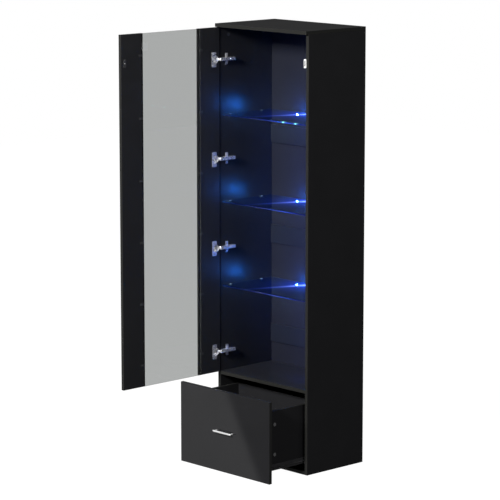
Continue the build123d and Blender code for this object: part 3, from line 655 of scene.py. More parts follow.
@dataclass(frozen=True)
class TimberFinish(Finish):
    """Turned hardwood with rings and flecks.

    Fields:
        late: the colour of the slow growth.
        rings: growth lines per metre.
    """

    late: Colour = (0.42, 0.24, 0.12)
    rings: float = 260.0

    def shade(self, sheet: Sheet, shader: bpy.types.Node) -> None:
        """Growth lines along the dowel, fine flecks and a dry surface.

        Args:
            sheet: the material's tree.
            shader: the surface shader.
        """
        rings = sheet.place("TexWave", wave_type="BANDS", bands_direction="Z")
        sheet.feed(sheet.coords(), rings.inputs["Vector"])
        sheet.settle(rings, Scale=self.rings, Distortion=5.0)
        grain = SurfaceGrain().use(sheet, Cells=self.skin.value[0], Stretch=(0.15, 1.0, 1.0))
        wood = sheet.blend(rings.outputs["Fac"], self.colour, self.late)
        flecked = sheet.blend(sheet.times(grain["Speck"], 0.5), wood, self.dark(0.5))
        sheet.feed(flecked, shader.inputs["Base Color"])
        dry = sheet.between(grain["Height"], self.rough - 0.1, self.rough + 0.1)
        sheet.feed(dry, shader.inputs["Roughness"])
        self.bump(sheet, shader, grain["Height"])


@dataclass(frozen=True)
class GlassFinish(Finish):
    """Float glass: a tint, faint smears, and edges that carry light.

    Fields:
        edge: the colour of the ground edges.
        thin: the axis across the pane.
    """

    edge: Colour = (0.3, 0.5, 0.45)
    thin: Axis = Axis.X

    def shade(self, sheet: Sheet, shader: bpy.types.Node) -> None:
        """Tinted body, deeper colour at the ground edges, wiped smears in the gloss.

        Args:
            sheet: the material's tree.
            shader: the surface shader.
        """
        grain = SurfaceGrain().use(sheet, Cells=self.skin.value[0])
        marks = HandlingMarks().use(sheet, Amount=0.8)
        strip = Lipping().use(sheet, Thin_axis=self.thin.unit())
        body = sheet.blend(grain["Cloud"], self.colour, self.dark(0.985))
        sheet.feed(sheet.blend(strip["Edge"], body, self.edge), shader.inputs["Base Color"])
        clean = sheet.between(marks["Smear"], self.rough, self.rough + 0.012)
        sheet.feed(sheet.between(strip["Edge"], clean, 0.18), shader.inputs["Roughness"])
        sheet.settle(shader, Transmission_Weight=1.0, IOR=1.5)
        self.bump(sheet, shader, grain["Height"], 0.3)


@dataclass(frozen=True)
class PaintedGlowGlassFinish(GlassFinish):
    """Shelf glass with the light of the clip at its back edge painted on as emission: a painted ray, halo,
    edge glow and glints.

    Fields:
        lamp: the middle of the clip's front edge, where the painted glow is centred.
        painted_beam: the end of the painted ray that the clip seems to throw into the glass, from the lamp.
        painted_core: the colour of the painted ray near the lamp.
        painted_halo: the colour of the painted glow around them and in the edges.
        fading: how fast the painted ray fades along its length.
        start_width: half the painted ray's width at the lamp.
        end_width: half the painted ray's width at its end.
        painted_glints: where the lamp is painted as showing through the front edge, as glints.
        painted_glint_colour: the colour of the painted glints.
    """

    lamp: Point = (0.0, 0.0, 0.0)
    painted_beam: Point = (-0.116, -0.273, 0.0)
    painted_core: Colour = (0.5, 0.62, 1.0)
    painted_halo: Colour = (0.004, 0.035, 0.55)
    fading: float = 3.2
    start_width: float = 0.021
    end_width: float = 0.009
    painted_glints: tuple[Point, ...] = ()
    painted_glint_colour: Colour = (0.25, 0.9, 0.85)

    def ray(self, sheet: Sheet, place: Socket) -> Socket:
        """The painted ray's brightness: e to the power of -(share along it x fading), times a soft bell
        across it.

        Args:
            sheet: the material's tree.
            place: the shaded point.
        Returns:
            The brightness, 0 to 1.
        """
        length = Vector(self.painted_beam).length
        along_unit = tuple(c / length for c in self.painted_beam)
        across_unit = (-along_unit[1], along_unit[0], 0.0)
        offset = sheet.vector("SUBTRACT", place, self.lamp)
        along = sheet.vector("DOT_PRODUCT", offset, along_unit, output="Value")
        across = sheet.vector("DOT_PRODUCT", offset, across_unit, output="Value")
        share = sheet.math("DIVIDE", along, length)
        within = sheet.times(share, 1.0, clamp=True)
        width = sheet.between(within, self.start_width, self.end_width)
        ratio = sheet.math("DIVIDE", across, width)
        bell = sheet.decay(sheet.times(ratio, ratio))
        fade = sheet.decay(sheet.times(sheet.math("MAXIMUM", share, 0.0), self.fading))
        start = sheet.step(along, -0.02, 0.0)
        return sheet.times(sheet.times(bell, fade), start)

    @staticmethod
    def tinted(sheet: Sheet, colour: Colour, share: Socket) -> Socket:
        """A colour times a share that varies over the surface.

        Args:
            sheet: the material's tree.
            colour: the colour.
            share: the share's socket.
        Returns:
            The product's socket.
        """
        node = sheet.place("VectorMath", operation="SCALE")
        node.inputs[0].default_value = colour
        sheet.feed(share, node.inputs["Scale"])
        return node.outputs["Vector"]

    def shade(self, sheet: Sheet, shader: bpy.types.Node) -> None:
        """Clear glass, plus painted light as emission: painted rays on its top and bottom faces, a painted
        halo round the lamp and painted glow in the edges.

        Args:
            sheet: the material's tree.
            shader: the surface shader.
        """
        super().shade(sheet, shader)
        # From here on the glass gets painted light: emission masks that stand in for the clip's light in the
        # glass.
        strip = Lipping().use(sheet, Thin_axis=self.thin.unit())
        painted_beam = self.ray(sheet, sheet.coords())
        near = PaintedLampGlow().use(sheet, Centre=self.lamp, Reach=0.05)["Glow"]
        wide = PaintedLampGlow().use(sheet, Centre=self.lamp, Reach=0.2)["Glow"]
        painted_edge_glow = sheet.times(sheet.plus(0.02, sheet.times(wide, 0.1)), strip["Edge"])
        soft = sheet.plus(sheet.times(near, 1.2), sheet.times(wide, 0.03))
        soft = sheet.plus(soft, sheet.times(painted_beam, 1.1))
        blue = sheet.plus(soft, painted_edge_glow)
        painted_hot_core = sheet.times(painted_beam, painted_beam)
        painted_glow_total = sheet.vector("ADD", self.tinted(sheet, self.painted_halo, blue), self.tinted(sheet, self.painted_core, painted_hot_core))
        # Painted glints: bright emission spots where the lamp is painted as showing through the front edge.
        for place in self.painted_glints:
            painted_glint_spot = PaintedLampGlow().use(sheet, Centre=place, Reach=0.0035)["Glow"]
            painted_glow_total = sheet.vector("ADD", painted_glow_total, self.tinted(sheet, self.painted_glint_colour, sheet.times(painted_glint_spot, 3.0)))
        sheet.feed(painted_glow_total, shader.inputs["Emission Color"])
        sheet.settle(shader, Emission_Strength=1.0)


@dataclass(frozen=True)
class LensFinish(Finish):
    """The small domes that the light comes out of: pale in the middle, blue round it.

    Fields:
        rim: the colour of the light at the rim.
        crown: the colour of the light in the middle.
        power: how strongly the dome shines.
    """

    rim: Colour = (0.02, 0.16, 1.0)
    crown: Colour = (0.35, 0.55, 1.0)
    power: float = 1.2

    def shade(self, sheet: Sheet, shader: bpy.types.Node) -> None:
        """Emission goes from the rim's blue to the crown's colour where the dome faces its axis.

        Args:
            sheet: the material's tree.
            shader: the surface shader.
        """
        grain = SurfaceGrain().use(sheet, Cells=self.skin.value[0])
        parts = sheet.place("SeparateXYZ")
        sheet.feed(sheet.coords("Normal"), parts.inputs[0])
        middle = sheet.step(sheet.math("ABSOLUTE", parts.outputs["Z"]), 0.5, 0.98)
        lit = sheet.blend(middle, self.rim, self.crown)
        sheet.feed(sheet.blend(grain["Cloud"], self.colour, self.dark(0.9)), shader.inputs["Base Color"])
        sheet.feed(lit, shader.inputs["Emission Color"])
        sheet.settle(shader, Emission_Strength=self.power)
        sheet.feed(sheet.between(grain["Height"], self.rough, self.rough + 0.08), shader.inputs["Roughness"])
        self.bump(sheet, shader, grain["Height"])


BLACK = (0.0105, 0.0105, 0.0115)
BRIGHT = (0.95, 0.95, 0.96)
# The colour of rubbed black metal edges, which also paints a highlight along those edges.
RUBBED_AND_HIGHLIGHT_BLACK = (0.3, 0.3, 0.3)
WHITE = (1.0, 1.0, 1.0, 1.0)


def board(axis: Axis, gloss: bool = False) -> BoardFinish:
    """The black board finish for boards that are thin along an axis.

    Args:
        axis: the axis across the board.
        gloss: whether the board's front is high gloss.
    Returns:
        The finish.
    """
    kind, sheen = ("gloss", 0.34) if gloss else ("matt", 0.22)
    title = f"black_board_{kind}_{axis.name.lower()}"
    return BoardFinish(title, BLACK, 0.29, Skin.MELAMINE, thin=axis, gloss_front=gloss, sheen=sheen)


FINISHES: dict[str, Finish] = {
    # The blue in this colour is painted light: it stands in for the shelf lamps' blue glow on the back sheet,
    # over the print's own near-black.
    "dark_hardboard": HardboardFinish(
        "dark_hardboard_print", (0.0082, 0.0088, 0.0125), 0.42, Skin.HARDBOARD,
    ),
    "zinc_fitting": MetalFinish("zinc_die_cast", (0.3, 0.3, 0.31), 0.5, Skin.CAST),
    "beech_dowel": TimberFinish("beech_turned", (0.62, 0.42, 0.24), 0.6, Skin.CAST),
    "steel_pin": MetalFinish("bright_zinc_pin", (0.62, 0.62, 0.64), 0.34, Skin.PRESSED),
    "clear_rubber": PlasticFinish(
        "clear_soft_pad", (0.75, 0.76, 0.76), 0.35, Skin.MOULDED, clear=0.6,
    ),
    "clip_housing": PlasticFinish("frosted_clip", (0.7, 0.76, 0.85), 0.4, Skin.MOULDED, clear=0.35),
    "white_plastic": PlasticFinish("white_moulding", (0.86, 0.86, 0.85), 0.38, Skin.MOULDED),
    "magnet": MetalFinish(
        "dark_ferrite", (0.1, 0.1, 0.105), 0.6, Skin.CAST, metallic=0.2, worn_and_highlight=RUBBED_AND_HIGHLIGHT_BLACK,
    ),
    "strike_steel": MetalFinish(
        "black_zinc_strike", (0.05, 0.05, 0.052), 0.42, Skin.PRESSED, metallic=0.6, worn_and_highlight=RUBBED_AND_HIGHLIGHT_BLACK,
    ),
    "hinge_nickel": MetalFinish(
        "nickel_pressing", (0.96, 0.96, 0.98), 0.27, Skin.PRESSED,
        metallic=0.9, worn_and_highlight=BRIGHT, round_edges=0.0014,
    ),
    "screw_steel": MetalFinish("bright_screw", (0.66, 0.66, 0.68), 0.36, Skin.PRESSED, worn_and_highlight=BRIGHT),
    "black_plastic": PlasticFinish(
        "black_clip", (0.014, 0.014, 0.015), 0.42, Skin.MOULDED, edge=(0.06, 0.06, 0.06),
    ),
    "handle_chrome": MetalFinish(
        "satin_handle", (0.92, 0.92, 0.93), 0.42, Skin.PRESSED,
        metallic=0.7, stretch=(0.05, 1.0, 1.0), worn_and_highlight=BRIGHT,
    ),
    "runner_black": MetalFinish(
        "black_runner", (0.02, 0.02, 0.022), 0.4, Skin.PRESSED,
        metallic=0.0, stretch=(1.0, 0.05, 1.0), worn_and_highlight=(0.2, 0.2, 0.2),
    ),
    "roller_nylon": PlasticFinish("white_nylon", (0.72, 0.71, 0.68), 0.5, Skin.MOULDED),
    "led_lens": LensFinish("lit_lens", (0.1, 0.3, 1.0), 0.15, Skin.MOULDED),
}
# The rails share the back sheet's colour, whose blue is painted light standing in for the shelf lamps' glow.
RAIL_PAINTED_BLUE = BoardFinish(
    "black_board_rail", (0.0072, 0.0085, 0.0125), 0.4, Skin.MELAMINE, thin=Axis.Y, sheen=0.12,
)
DOOR_GLASS = GlassFinish(
    "grey_door_glass", (0.437, 0.449, 0.443), 0.012, Skin.LACQUER, edge=(0.05, 0.085, 0.075),
)
SHELF_TINT = (0.42, 0.68, 0.8)
SHELF_EDGE = (0.05, 0.2, 0.35)


# ---------------------------------------------------------------- surfaces
Shell = tuple[np.ndarray, list]


class Surface:
    """Builds meshes from grids of points worked out as whole arrays."""

    @staticmethod
    def mesh(name: str, points: np.ndarray, faces: list, smooth: bool = True) -> bpy.types.Object:
        """A mesh object at the origin.

        Args:
            name: the piece's name.
            points: n by 3 places in metres.
            faces: corner indices of each face.
            smooth: round the shading over the faces.
        Returns:
            The new object, linked to the scene.
        """
        data = bpy.data.meshes.new(name)
        data.from_pydata(np.asarray(points, float).tolist(), [], [list(map(int, f)) for f in faces])
        data.polygons.foreach_set("use_smooth", np.full(len(data.polygons), smooth))
        data.update()
        piece = bpy.data.objects.new(name, data)
        bpy.context.scene.collection.objects.link(piece)
        return piece

    @staticmethod
    def tube_faces(rings: int, around: int) -> list[tuple[int, ...]]:
        """The faces of a stack of closed rings, with one more face over each end.

        Args:
            rings: how many rings there are.
            around: points on each ring.
        Returns:
            The faces as index tuples, outwards where the rings turn left-handed about the stack.
        """
        i, j = np.meshgrid(np.arange(rings - 1), np.arange(around), indexing="ij")
        k = (j + 1) % around
        quads = np.stack([i * around + j, i * around + k, (i + 1) * around + k, (i + 1) * around + j], -1)
        start_cap = tuple(np.arange(around)[::-1])
        end_cap = tuple((rings - 1) * around + np.arange(around))
        return [tuple(q) for q in quads.reshape(-1, 4)] + [start_cap, end_cap]

    @staticmethod
    def turned(shell: Shell) -> Shell:
        """The same shell with every face looking the other way."""
        return shell[0], [face[::-1] for face in shell[1]]

    @staticmethod
    def join(name: str, parts: list[Shell]) -> bpy.types.Object:
        """One object from several closed shells, with the faces shifted to their own points.

        Args:
            name: the piece's name.
            parts: the points and faces of each shell.
        Returns:
            The new object.
        """
        points = np.concatenate([p for p, _ in parts])
        starts = np.cumsum([0] + [len(p) for p, _ in parts[:-1]])
        faces = [tuple(int(c + s) for c in face) for s, (_, shell) in zip(starts, parts) for face in shell]
        return Surface.mesh(name, points, faces)

    @staticmethod
    def merge(piece: bpy.types.Object) -> None:
        """Merge doubled points and turn all faces outwards.

        Args:
            piece: the piece to clean.
        """
        shape = bmesh.new()
        shape.from_mesh(piece.data)
        bmesh.ops.remove_doubles(shape, verts=shape.verts, dist=1e-6)
        bmesh.ops.recalc_face_normals(shape, faces=shape.faces)
        shape.to_mesh(piece.data)
        shape.free()

    @staticmethod
    def fit(piece: bpy.types.Object, node: str, body: str, slot: str) -> bpy.types.Object:
        """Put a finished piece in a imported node's place.

        Args:
            piece: the new piece.
            node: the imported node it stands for.
            body: the body it rides on.
            slot: the material slot whose finish it wears.
        Returns:
            The same piece.
        """
        piece.data.materials.append(FINISHES[slot].make())
        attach(piece, body)
        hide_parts(node)
        return piece


@dataclass
class Pane:
    """A flat glass sheet with ground, rounded arrises and slightly clipped corners.

    Fields:
        name: the piece's name.
        node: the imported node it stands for.
        body: the body it rides on.
        thin: the axis across the sheet, X or Z.
        corner: the radius of the corners in plan.
        arris: the width of the ground arris.
        steps: points along each corner's quarter turn.
        arris_steps: rings across each arris.
        least_radius: the corner's radius is never less.
    """

    name: str
    node: str
    body: str
    thin: Axis
    corner: float
    arris: float
    steps: int = 7
    arris_steps: int = 5
    least_radius: float = 1e-5

    def outline(self, half: np.ndarray, inset: float) -> np.ndarray:
        """The rounded rectangle: corner centre plus radius times (cos a, sin a), a over 90 degrees.

        Args:
            half: half the sheet's two wide sizes.
            inset: how far inside the sheet's edge the outline runs.
        Returns:
            The outline's points, corner after corner.
        """
        radius = max(self.corner - inset, self.least_radius)
        angle = np.linspace(0.0, math.pi / 2, self.steps)
        quarter = np.arange(4)[:, None] * math.pi / 2 + angle[None, :]
        sign = np.array([(1, 1), (-1, 1), (-1, -1), (1, -1)], float)
        centres = sign * (half - self.corner)
        ring = centres[:, None, :] + radius * np.stack([np.cos(quarter), np.sin(quarter)], -1)
        return ring.reshape(-1, 2)

    def build(self) -> bpy.types.Object:
        """Rings from face to face: over an arris the inset is 1 - sin t and the rise is 1 - cos t.

        Returns:
            The pane, riding on its body.
        """
        low, high = (np.array(c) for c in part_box(self.node))
        middle, size = (low + high) / 2, high - low
        thin = self.thin.value
        wide = [a for a in range(3) if a != thin]
        half = size[wide] / 2
        turn = np.linspace(0.0, math.pi / 2, self.arris_steps)
        inset = self.arris * (1 - np.sin(turn))
        rise = self.arris * (1 - np.cos(turn))
        inset = np.concatenate([inset, inset[::-1]])
        height = np.concatenate([-size[thin] / 2 + rise, size[thin] / 2 - rise[::-1]])
        rings = [self.outline(half, i) for i in inset]
        around = len(rings[0])
        flat = np.concatenate(rings)
        points = np.zeros((len(flat), 3))
        points[:, wide] = flat
        points[:, thin] = np.repeat(height, around)
        piece = Surface.mesh(self.name, points + middle, Surface.tube_faces(len(rings), around))
        smooth = np.ones(len(piece.data.polygons), bool)
        smooth[-2:] = False
        piece.data.polygons.foreach_set("use_smooth", smooth)
        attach(piece, self.body)
        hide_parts(self.node)
        piece.visible_shadow = False
        return piece


@dataclass
class BowHandle:
    """A bar handle: a bar with rounded ends on two flared legs, each a rounded section along its axis.

    Fields:
        leg_offset: half the distance between the screws.
        bar_end: half the bar's length.
        bar: depth and height of the bar's section.
        leg_width: width of a leg.
        end_round: the length over which the bar's ends are rounded.
        end_rings: where the sections of a rounded end lie, from the tip.
        around: points round a section.
        along: sections along the bar.
        leg_rings: sections along a leg.
    """

    leg_offset: float = 0.048
    bar_end: float = 0.0545
    bar: tuple[float, float] = (0.006, 0.008)
    leg_width: float = 0.007
    end_round: float = 0.003
    end_rings: tuple[float, ...] = (0.0, 0.0003, 0.0009, 0.0018)
    around: int = 24
    along: int = 41
    leg_rings: int = 12

    def section(self, power: float = 3.2) -> np.ndarray:
        """A rounded rectangle of half size 1: sign(cos a) |cos a|^(2/power), and the same of sin a.

        Args:
            power: how square it is, where 2 is an ellipse.
        Returns:
            The section's points.
        """
        angle = np.linspace(0.0, 2 * math.pi, self.around, endpoint=False)
        c, s = np.cos(angle), np.sin(angle)
        return np.stack([np.sign(c) * np.abs(c) ** (2 / power), np.sign(s) * np.abs(s) ** (2 / power)], -1)

    def bar_shell(self, low: np.ndarray, high: np.ndarray) -> Shell:
        """The bar: sections along X, whose size falls as the root of 1 - t squared at the rounded ends.

        Args:
            low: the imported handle's lowest corner.
            high: its highest corner.
        Returns:
            The bar's points and faces.
        """
        tip = np.array(self.end_rings)
        middle = np.linspace(low[0], high[0], self.along)[1:-1]
        x = np.sort(np.concatenate([low[0] + tip, middle, high[0] - tip]))
        ends = np.minimum(x - low[0], high[0] - x)
        t = np.clip(1 - ends / self.end_round, 0, 1)
        scale = 0.45 + 0.55 * np.sqrt(np.clip(1 - t * t, 0, 1))
        crown = 1 - 0.10 * (x / self.bar_end) ** 2
        ring = self.section()
        y = low[1] + self.bar[0] / 2 + ring[None, :, 0] * self.bar[0] / 2 * scale[:, None]
        z = (low[2] + high[2]) / 2 + ring[None, :, 1] * self.bar[1] / 2 * (scale * crown)[:, None]
        points = np.stack([np.broadcast_to(x[:, None], y.shape), y, z], -1).reshape(-1, 3)
        return points, Surface.tube_faces(len(x), self.around)

    def leg_shell(self, x: float, low: np.ndarray, high: np.ndarray) -> Shell:
        """A leg: sections along Y that flare towards both ends as 0.88 + 0.12 (2t - 1) to the fourth.

        Args:
            x: where the leg stands.
            low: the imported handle's lowest corner.
            high: its highest corner.
        Returns:
            The leg's points and faces.
        """
        y = np.linspace(high[1], low[1] + self.bar[0] * 0.6, self.leg_rings)
        t = np.linspace(0.0, 1.0, self.leg_rings)
        flare = 0.88 + 0.12 * (2 * t - 1) ** 4
        ring = self.section()
        px = x + ring[None, :, 0] * self.leg_width / 2 * flare[:, None]
        pz = (low[2] + high[2]) / 2 + ring[None, :, 1] * self.bar[1] / 2 * 0.9 * flare[:, None]
        points = np.stack([px, np.broadcast_to(y[:, None], px.shape), pz], -1).reshape(-1, 3)
        return points, Surface.tube_faces(len(y), self.around)

    def build(self) -> bpy.types.Object:
        """Join the bar and both legs into one piece on the drawer.

        Returns:
            The handle, riding on the drawer.
        """
        low, high = (np.array(c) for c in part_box("drawer_handle"))
        parts = [self.bar_shell(low, high)]
        parts += [self.leg_shell(s * self.leg_offset, low, high) for s in (-1, 1)]
        return Surface.fit(Surface.join("handle_bow", parts), "drawer_handle", "drawer", "handle_chrome")


@dataclass
class Solids:
    """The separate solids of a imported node.

    Fields:
        node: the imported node.
    """

    node: str

    def points(self) -> np.ndarray:
        """All the node's corner places.

        Returns:
            An n by 3 array.
        """
        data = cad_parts[self.node].data
        flat = np.empty(len(data.vertices) * 3, np.float32)
        data.vertices.foreach_get("co", flat)
        return flat.reshape(-1, 3).astype(float)

    def split(self) -> list[np.ndarray]:
        """The places of each solid: points that share a face or a place get the same least label.

        Returns:
            One array of places for each solid.
        """
        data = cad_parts[self.node].data
        places = self.points()
        corners = np.empty(len(data.polygons) * 3, np.int32)
        data.loops.foreach_get("vertex_index", corners)
        keys = np.unique(np.round(places, 6), axis=0, return_inverse=True)[1].reshape(-1)
        faces = keys[corners.reshape(-1, 3)]
        label = np.arange(keys.max() + 1)
        while True:
            least = label[faces].min(1)
            fresh = label.copy()
            np.minimum.at(fresh, faces.reshape(-1), np.repeat(least, 3))
            fresh = fresh[fresh]
            if np.array_equal(fresh, label):
                break
            label = fresh
        owner = label[keys]
        return [places[owner == o] for o in np.unique(owner)]


@dataclass
class CrossHeadScrews:
    """Pan-head screws with a cross recess, one for each solid of a packed screw node.

    Fields:
        node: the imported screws.
        body: the body they ride on.
        slot: the material slot they are packed with.
        around: points round a screw.
        recess: depth of the cross as a share of the head's height.
        tallest: the greatest height of a head.
        head_radii: the head's rings, from its middle out, as shares of its radius.
        arm: half the width of the cross's arms as a share of the head's radius.
        reach: how far the cross reaches, as a share of the head's radius.
    """

    node: str
    body: str
    slot: str
    around: int = 24
    recess: float = 0.75
    tallest: float = 0.0025
    head_radii: tuple[float, ...] = (0.0, 0.14, 0.28, 0.42, 0.56, 0.7, 0.85, 0.95, 1.0, 1.0)
    arm: float = 0.3
    reach: float = 0.62

    def frame_of(self, solid: np.ndarray) -> tuple[np.ndarray, np.ndarray, float, float, float]:
        """Where a screw's head ends, its outward direction, length, head radius and shank radius.

        Args:
            solid: the places of one packed screw.
        Returns:
            The head's outer middle, its direction, the length, head and shank radius.
        """
        low, high = solid.min(0), solid.max(0)
        size = high - low
        axis = int(np.argmin([abs(size[(i + 1) % 3] - size[(i + 2) % 3]) for i in range(3)]))
        others = [i for i in range(3) if i != axis]
        middle = (low + high) / 2
        reach = np.linalg.norm(solid[:, others] - middle[others], axis=1)
        top = abs(solid[reach > reach.max() * 0.97][:, axis] - high[axis]).min() < 1e-5
        direction = np.zeros(3)
        direction[axis] = 1.0 if top else -1.0
        end = middle.copy()
        end[axis] = high[axis] if top else low[axis]
        far = solid[:, axis] == (low[axis] if top else high[axis])
        shank = reach[far].max() if far.any() else reach.max() * 0.5
        return end, direction, size[axis], reach.max(), min(shank, reach.max() * 0.6)

    def shell(self, solid: np.ndarray) -> Shell:
        """Radius and depth along the profile, turned about the axis.

        The head's crown is a dome, depth = 0.45 height x (r / R) squared. The cross sinks where the angle
        is near a quarter turn: depth grows by the recess times a bell in r sin(2a) / (arm R).

        Args:
            solid: the places of one packed screw.
        Returns:
            The screw's points and faces.
        """
        end, direction, length, head, shank = self.frame_of(solid)
        pan = min(self.tallest, length * 0.2, head * 0.62)
        radius = np.array(self.head_radii) * head
        domed = len(radius) - 2
        depth = np.concatenate([pan * 0.45 * (radius[:domed] / head) ** 2, [pan * 0.55, pan]])
        radius = np.concatenate([radius, [shank, shank, shank * 0.75, shank * 0.1]])
        depth = np.concatenate([depth, [pan, length * 0.82, length * 0.93, length]])
        angle = np.arange(self.around) * 2 * math.pi / self.around
        cross = np.exp(-(np.abs(radius[:, None] * np.sin(2 * angle)) / (self.arm * head)) ** 2)
        inside = np.clip(1 - (radius[:, None] / (self.reach * head)) ** 4, 0, 1)
        sunk = depth[:, None] + self.recess * pan * cross * inside
        sunk[domed + 1:] = depth[domed + 1:, None]
        axis = int(np.argmax(np.abs(direction)))
        side = np.roll(np.eye(3), 1, axis=0)[axis]
        up = np.cross(direction, side)
        ring = np.cos(angle)[:, None] * side + np.sin(angle)[:, None] * up
        points = end + radius[:, None, None] * ring[None] - sunk[:, :, None] * direction
        return Surface.turned((points.reshape(-1, 3), Surface.tube_faces(len(radius), self.around)))

    def build(self) -> bpy.types.Object:
        """All the screws of the node as one piece.

        Returns:
            The piece, riding on its body.
        """
        piece = Surface.join(self.node + "_cross_head", [self.shell(s) for s in Solids(self.node).split()])
        Surface.merge(piece)
        return Surface.fit(piece, self.node, self.body, self.slot)


@dataclass
class LensDomes:
    """The lamp lenses: a dome on each packed lens disc.

    Fields:
        around: points round a dome.
        steps: rings from rim to crown.
    """

    around: int = 20
    steps: int = 7

    def shell(self, solid: np.ndarray, outward: float) -> Shell:
        """Radius = R cos t and rise = H (0.25 + 0.75 sin t), with t from 0 at the rim nearly to 90 degrees.

        Args:
            solid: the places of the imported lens.
            outward: 1 for a dome that looks up, -1 for one that looks down.
        Returns:
            The dome's points and faces.
        """
        low, high = solid.min(0), solid.max(0)
        middle, height = (low + high) / 2, high[2] - low[2]
        base = low[2] if outward > 0 else high[2]
        t = np.linspace(0.0, math.pi / 2 * 0.97, self.steps)
        radius = np.concatenate([[1.0], np.cos(t)]) * (high[0] - low[0]) / 2
        rise = np.concatenate([[0.0], 0.25 * height + 0.75 * height * np.sin(t)])
        angle = np.arange(self.around) * 2 * math.pi / self.around
        x = middle[0] + radius[:, None] * np.cos(angle)
        y = middle[1] + radius[:, None] * np.sin(angle)
        z = np.broadcast_to((base + outward * rise)[:, None], x.shape)
        dome = np.stack([x, y, z], -1).reshape(-1, 3), Surface.tube_faces(len(radius), self.around)
        return dome if outward > 0 else Surface.turned(dome)

    def build(self) -> bpy.types.Object:
        """All the domes; one under its shelf looks down, one over it looks up.

        Returns:
            The piece, riding on the cabinet.
        """
        shelves = np.array([(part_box(n)[0].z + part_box(n)[1].z) / 2 for n in LitShelves.nodes()])
        parts = []
        for solid in Solids("led_lenses").split():
            level = solid[:, 2].mean()
            nearest = shelves[np.argmin(np.abs(shelves - level))]
            parts.append(self.shell(solid, 1.0 if level > nearest else -1.0))
        return Surface.fit(Surface.join("lamp_lens_domes", parts), "led_lenses", "cabinet", "led_lens")


# ---------------------------------------------------------------- assemblies
@dataclass
class Dresser:
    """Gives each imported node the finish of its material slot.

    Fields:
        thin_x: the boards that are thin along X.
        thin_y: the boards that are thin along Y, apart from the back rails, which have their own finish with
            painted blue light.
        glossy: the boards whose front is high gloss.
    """

    thin_x: tuple[str, ...] = (
        "left_side_panel", "right_side_panel", "door_hinge_stile", "door_free_stile",
        "drawer_side_left", "drawer_side_right",
    )
    thin_y: tuple[str, ...] = ("drawer_back", "drawer_front")
    glossy: tuple[str, ...] = ("drawer_front", "door_hinge_stile", "door_free_stile")

    def finish_for(self, node: str, slot: str) -> bpy.types.Material | None:
        """The material for a node.

        Args:
            node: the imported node's name.
            slot: the material slot it was packed with.
        Returns:
            The material, or None where a finer piece stands for the node.
        """
        # The back rails get the finish whose blue is painted light.
        if node.startswith("back_rail"):
            return RAIL_PAINTED_BLUE.make()
        if slot in ("black_board", "black_gloss_board"):
            axis = Axis.X if node in self.thin_x else Axis.Y if node in self.thin_y else Axis.Z
            return board(axis, node in self.glossy).make()
        finish = FINISHES.get(slot)
        return finish.make() if finish else None

    def build(self) -> None:
        """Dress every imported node."""
        for name, piece in sorted(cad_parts.items()):
            for index, old in enumerate(list(piece.data.materials)):
                slot = old.name.split(".")[0]
                material = self.finish_for(name, slot)
                if material:
                    piece.data.materials[index] = material
                    LOG.info("%s dressed in %s", name, material.name)


@dataclass
class LitShelves:
    """The three glass shelves, whose light from the clips at their back edges is painted on as an emission
    glow.

    Fields:
        corner: the radius of the shelves' corners.
        arris: the width of the ground arris.
        painted_glint_offset: where the lamp is painted as showing through the upper shelf's front edge, from
            the middle.
        lamp_depth: how far back the front of a clip is.
    """

    corner: float = 0.004
    arris: float = 0.0008
    painted_glint_offset: tuple[float, float] = (0.115, 0.188)
    lamp_depth: float = 0.122

    @staticmethod
    def nodes() -> tuple[str, ...]:
        """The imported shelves, from the lowest up."""
        return ("glass_shelf_lower", "glass_shelf_middle", "glass_shelf_upper")

    def build(self) -> None:
        """One pane for each shelf, each with its painted glow centred on its own lamp place."""
        for node in self.nodes():
            low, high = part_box(node)
            level = (low.z + high.z) / 2
            pane = Pane(node + "_pane", node, "cabinet", Axis.Z, self.corner, self.arris).build()
            painted_glints = ()
            if node.endswith("upper"):
                painted_glints = tuple((x, low.y, level) for x in self.painted_glint_offset)
            # The finish paints the clip's light on the glass: ray, halo, edge glow and, on the upper shelf,
            # glints.
            finish = PaintedGlowGlassFinish(
                "lit_" + node, SHELF_TINT, 0.01, Skin.LACQUER, edge=SHELF_EDGE, thin=Axis.Z,
                lamp=(0.0, self.lamp_depth, level), painted_glints=painted_glints,
            )
            pane.data.materials.append(finish.make())
            LOG.info("%s built", pane.name)


@dataclass
class DoorPane:
    """The full-height strip of grey glass in the door.

    Fields:
        corner: the radius of the strip's corners.
        arris: the width of the ground arris.
    """

    corner: float = 0.0006
    arris: float = 0.0004

    def build(self) -> None:
        """One pane that rides on the door."""
        pane = Pane("door_strip_pane", "door_glass", "door", Axis.X, self.corner, self.arris).build()
        pane.data.materials.append(DOOR_GLASS.make())
        LOG.info("%s built", pane.name)


@dataclass
class SmallFittings:
    """Screws, handle and lamp lenses.

    Fields:
        screws: for each packed screw node, the body it rides on and its material slot.
    """

    screws: dict[str, tuple[str, str]] = field(default_factory=lambda: {
        "cabinet_wood_screws": ("cabinet", "screw_steel"),
        "hinge_arm_screws": ("cabinet", "hinge_nickel"),
        "door_wood_screws": ("door", "screw_steel"),
        "glass_clip_screws": ("door", "strike_steel"),
        "drawer_wood_screws": ("drawer", "strike_steel"),
    })

    def build(self) -> None:
        """Build each kind of fitting and report it."""
        for node, (body, slot) in self.screws.items():
            LOG.info("%s built", CrossHeadScrews(node, body, slot).build().name)
        LOG.info("%s built", BowHandle().build().name)
        LOG.info("%s built", LensDomes().build().name)


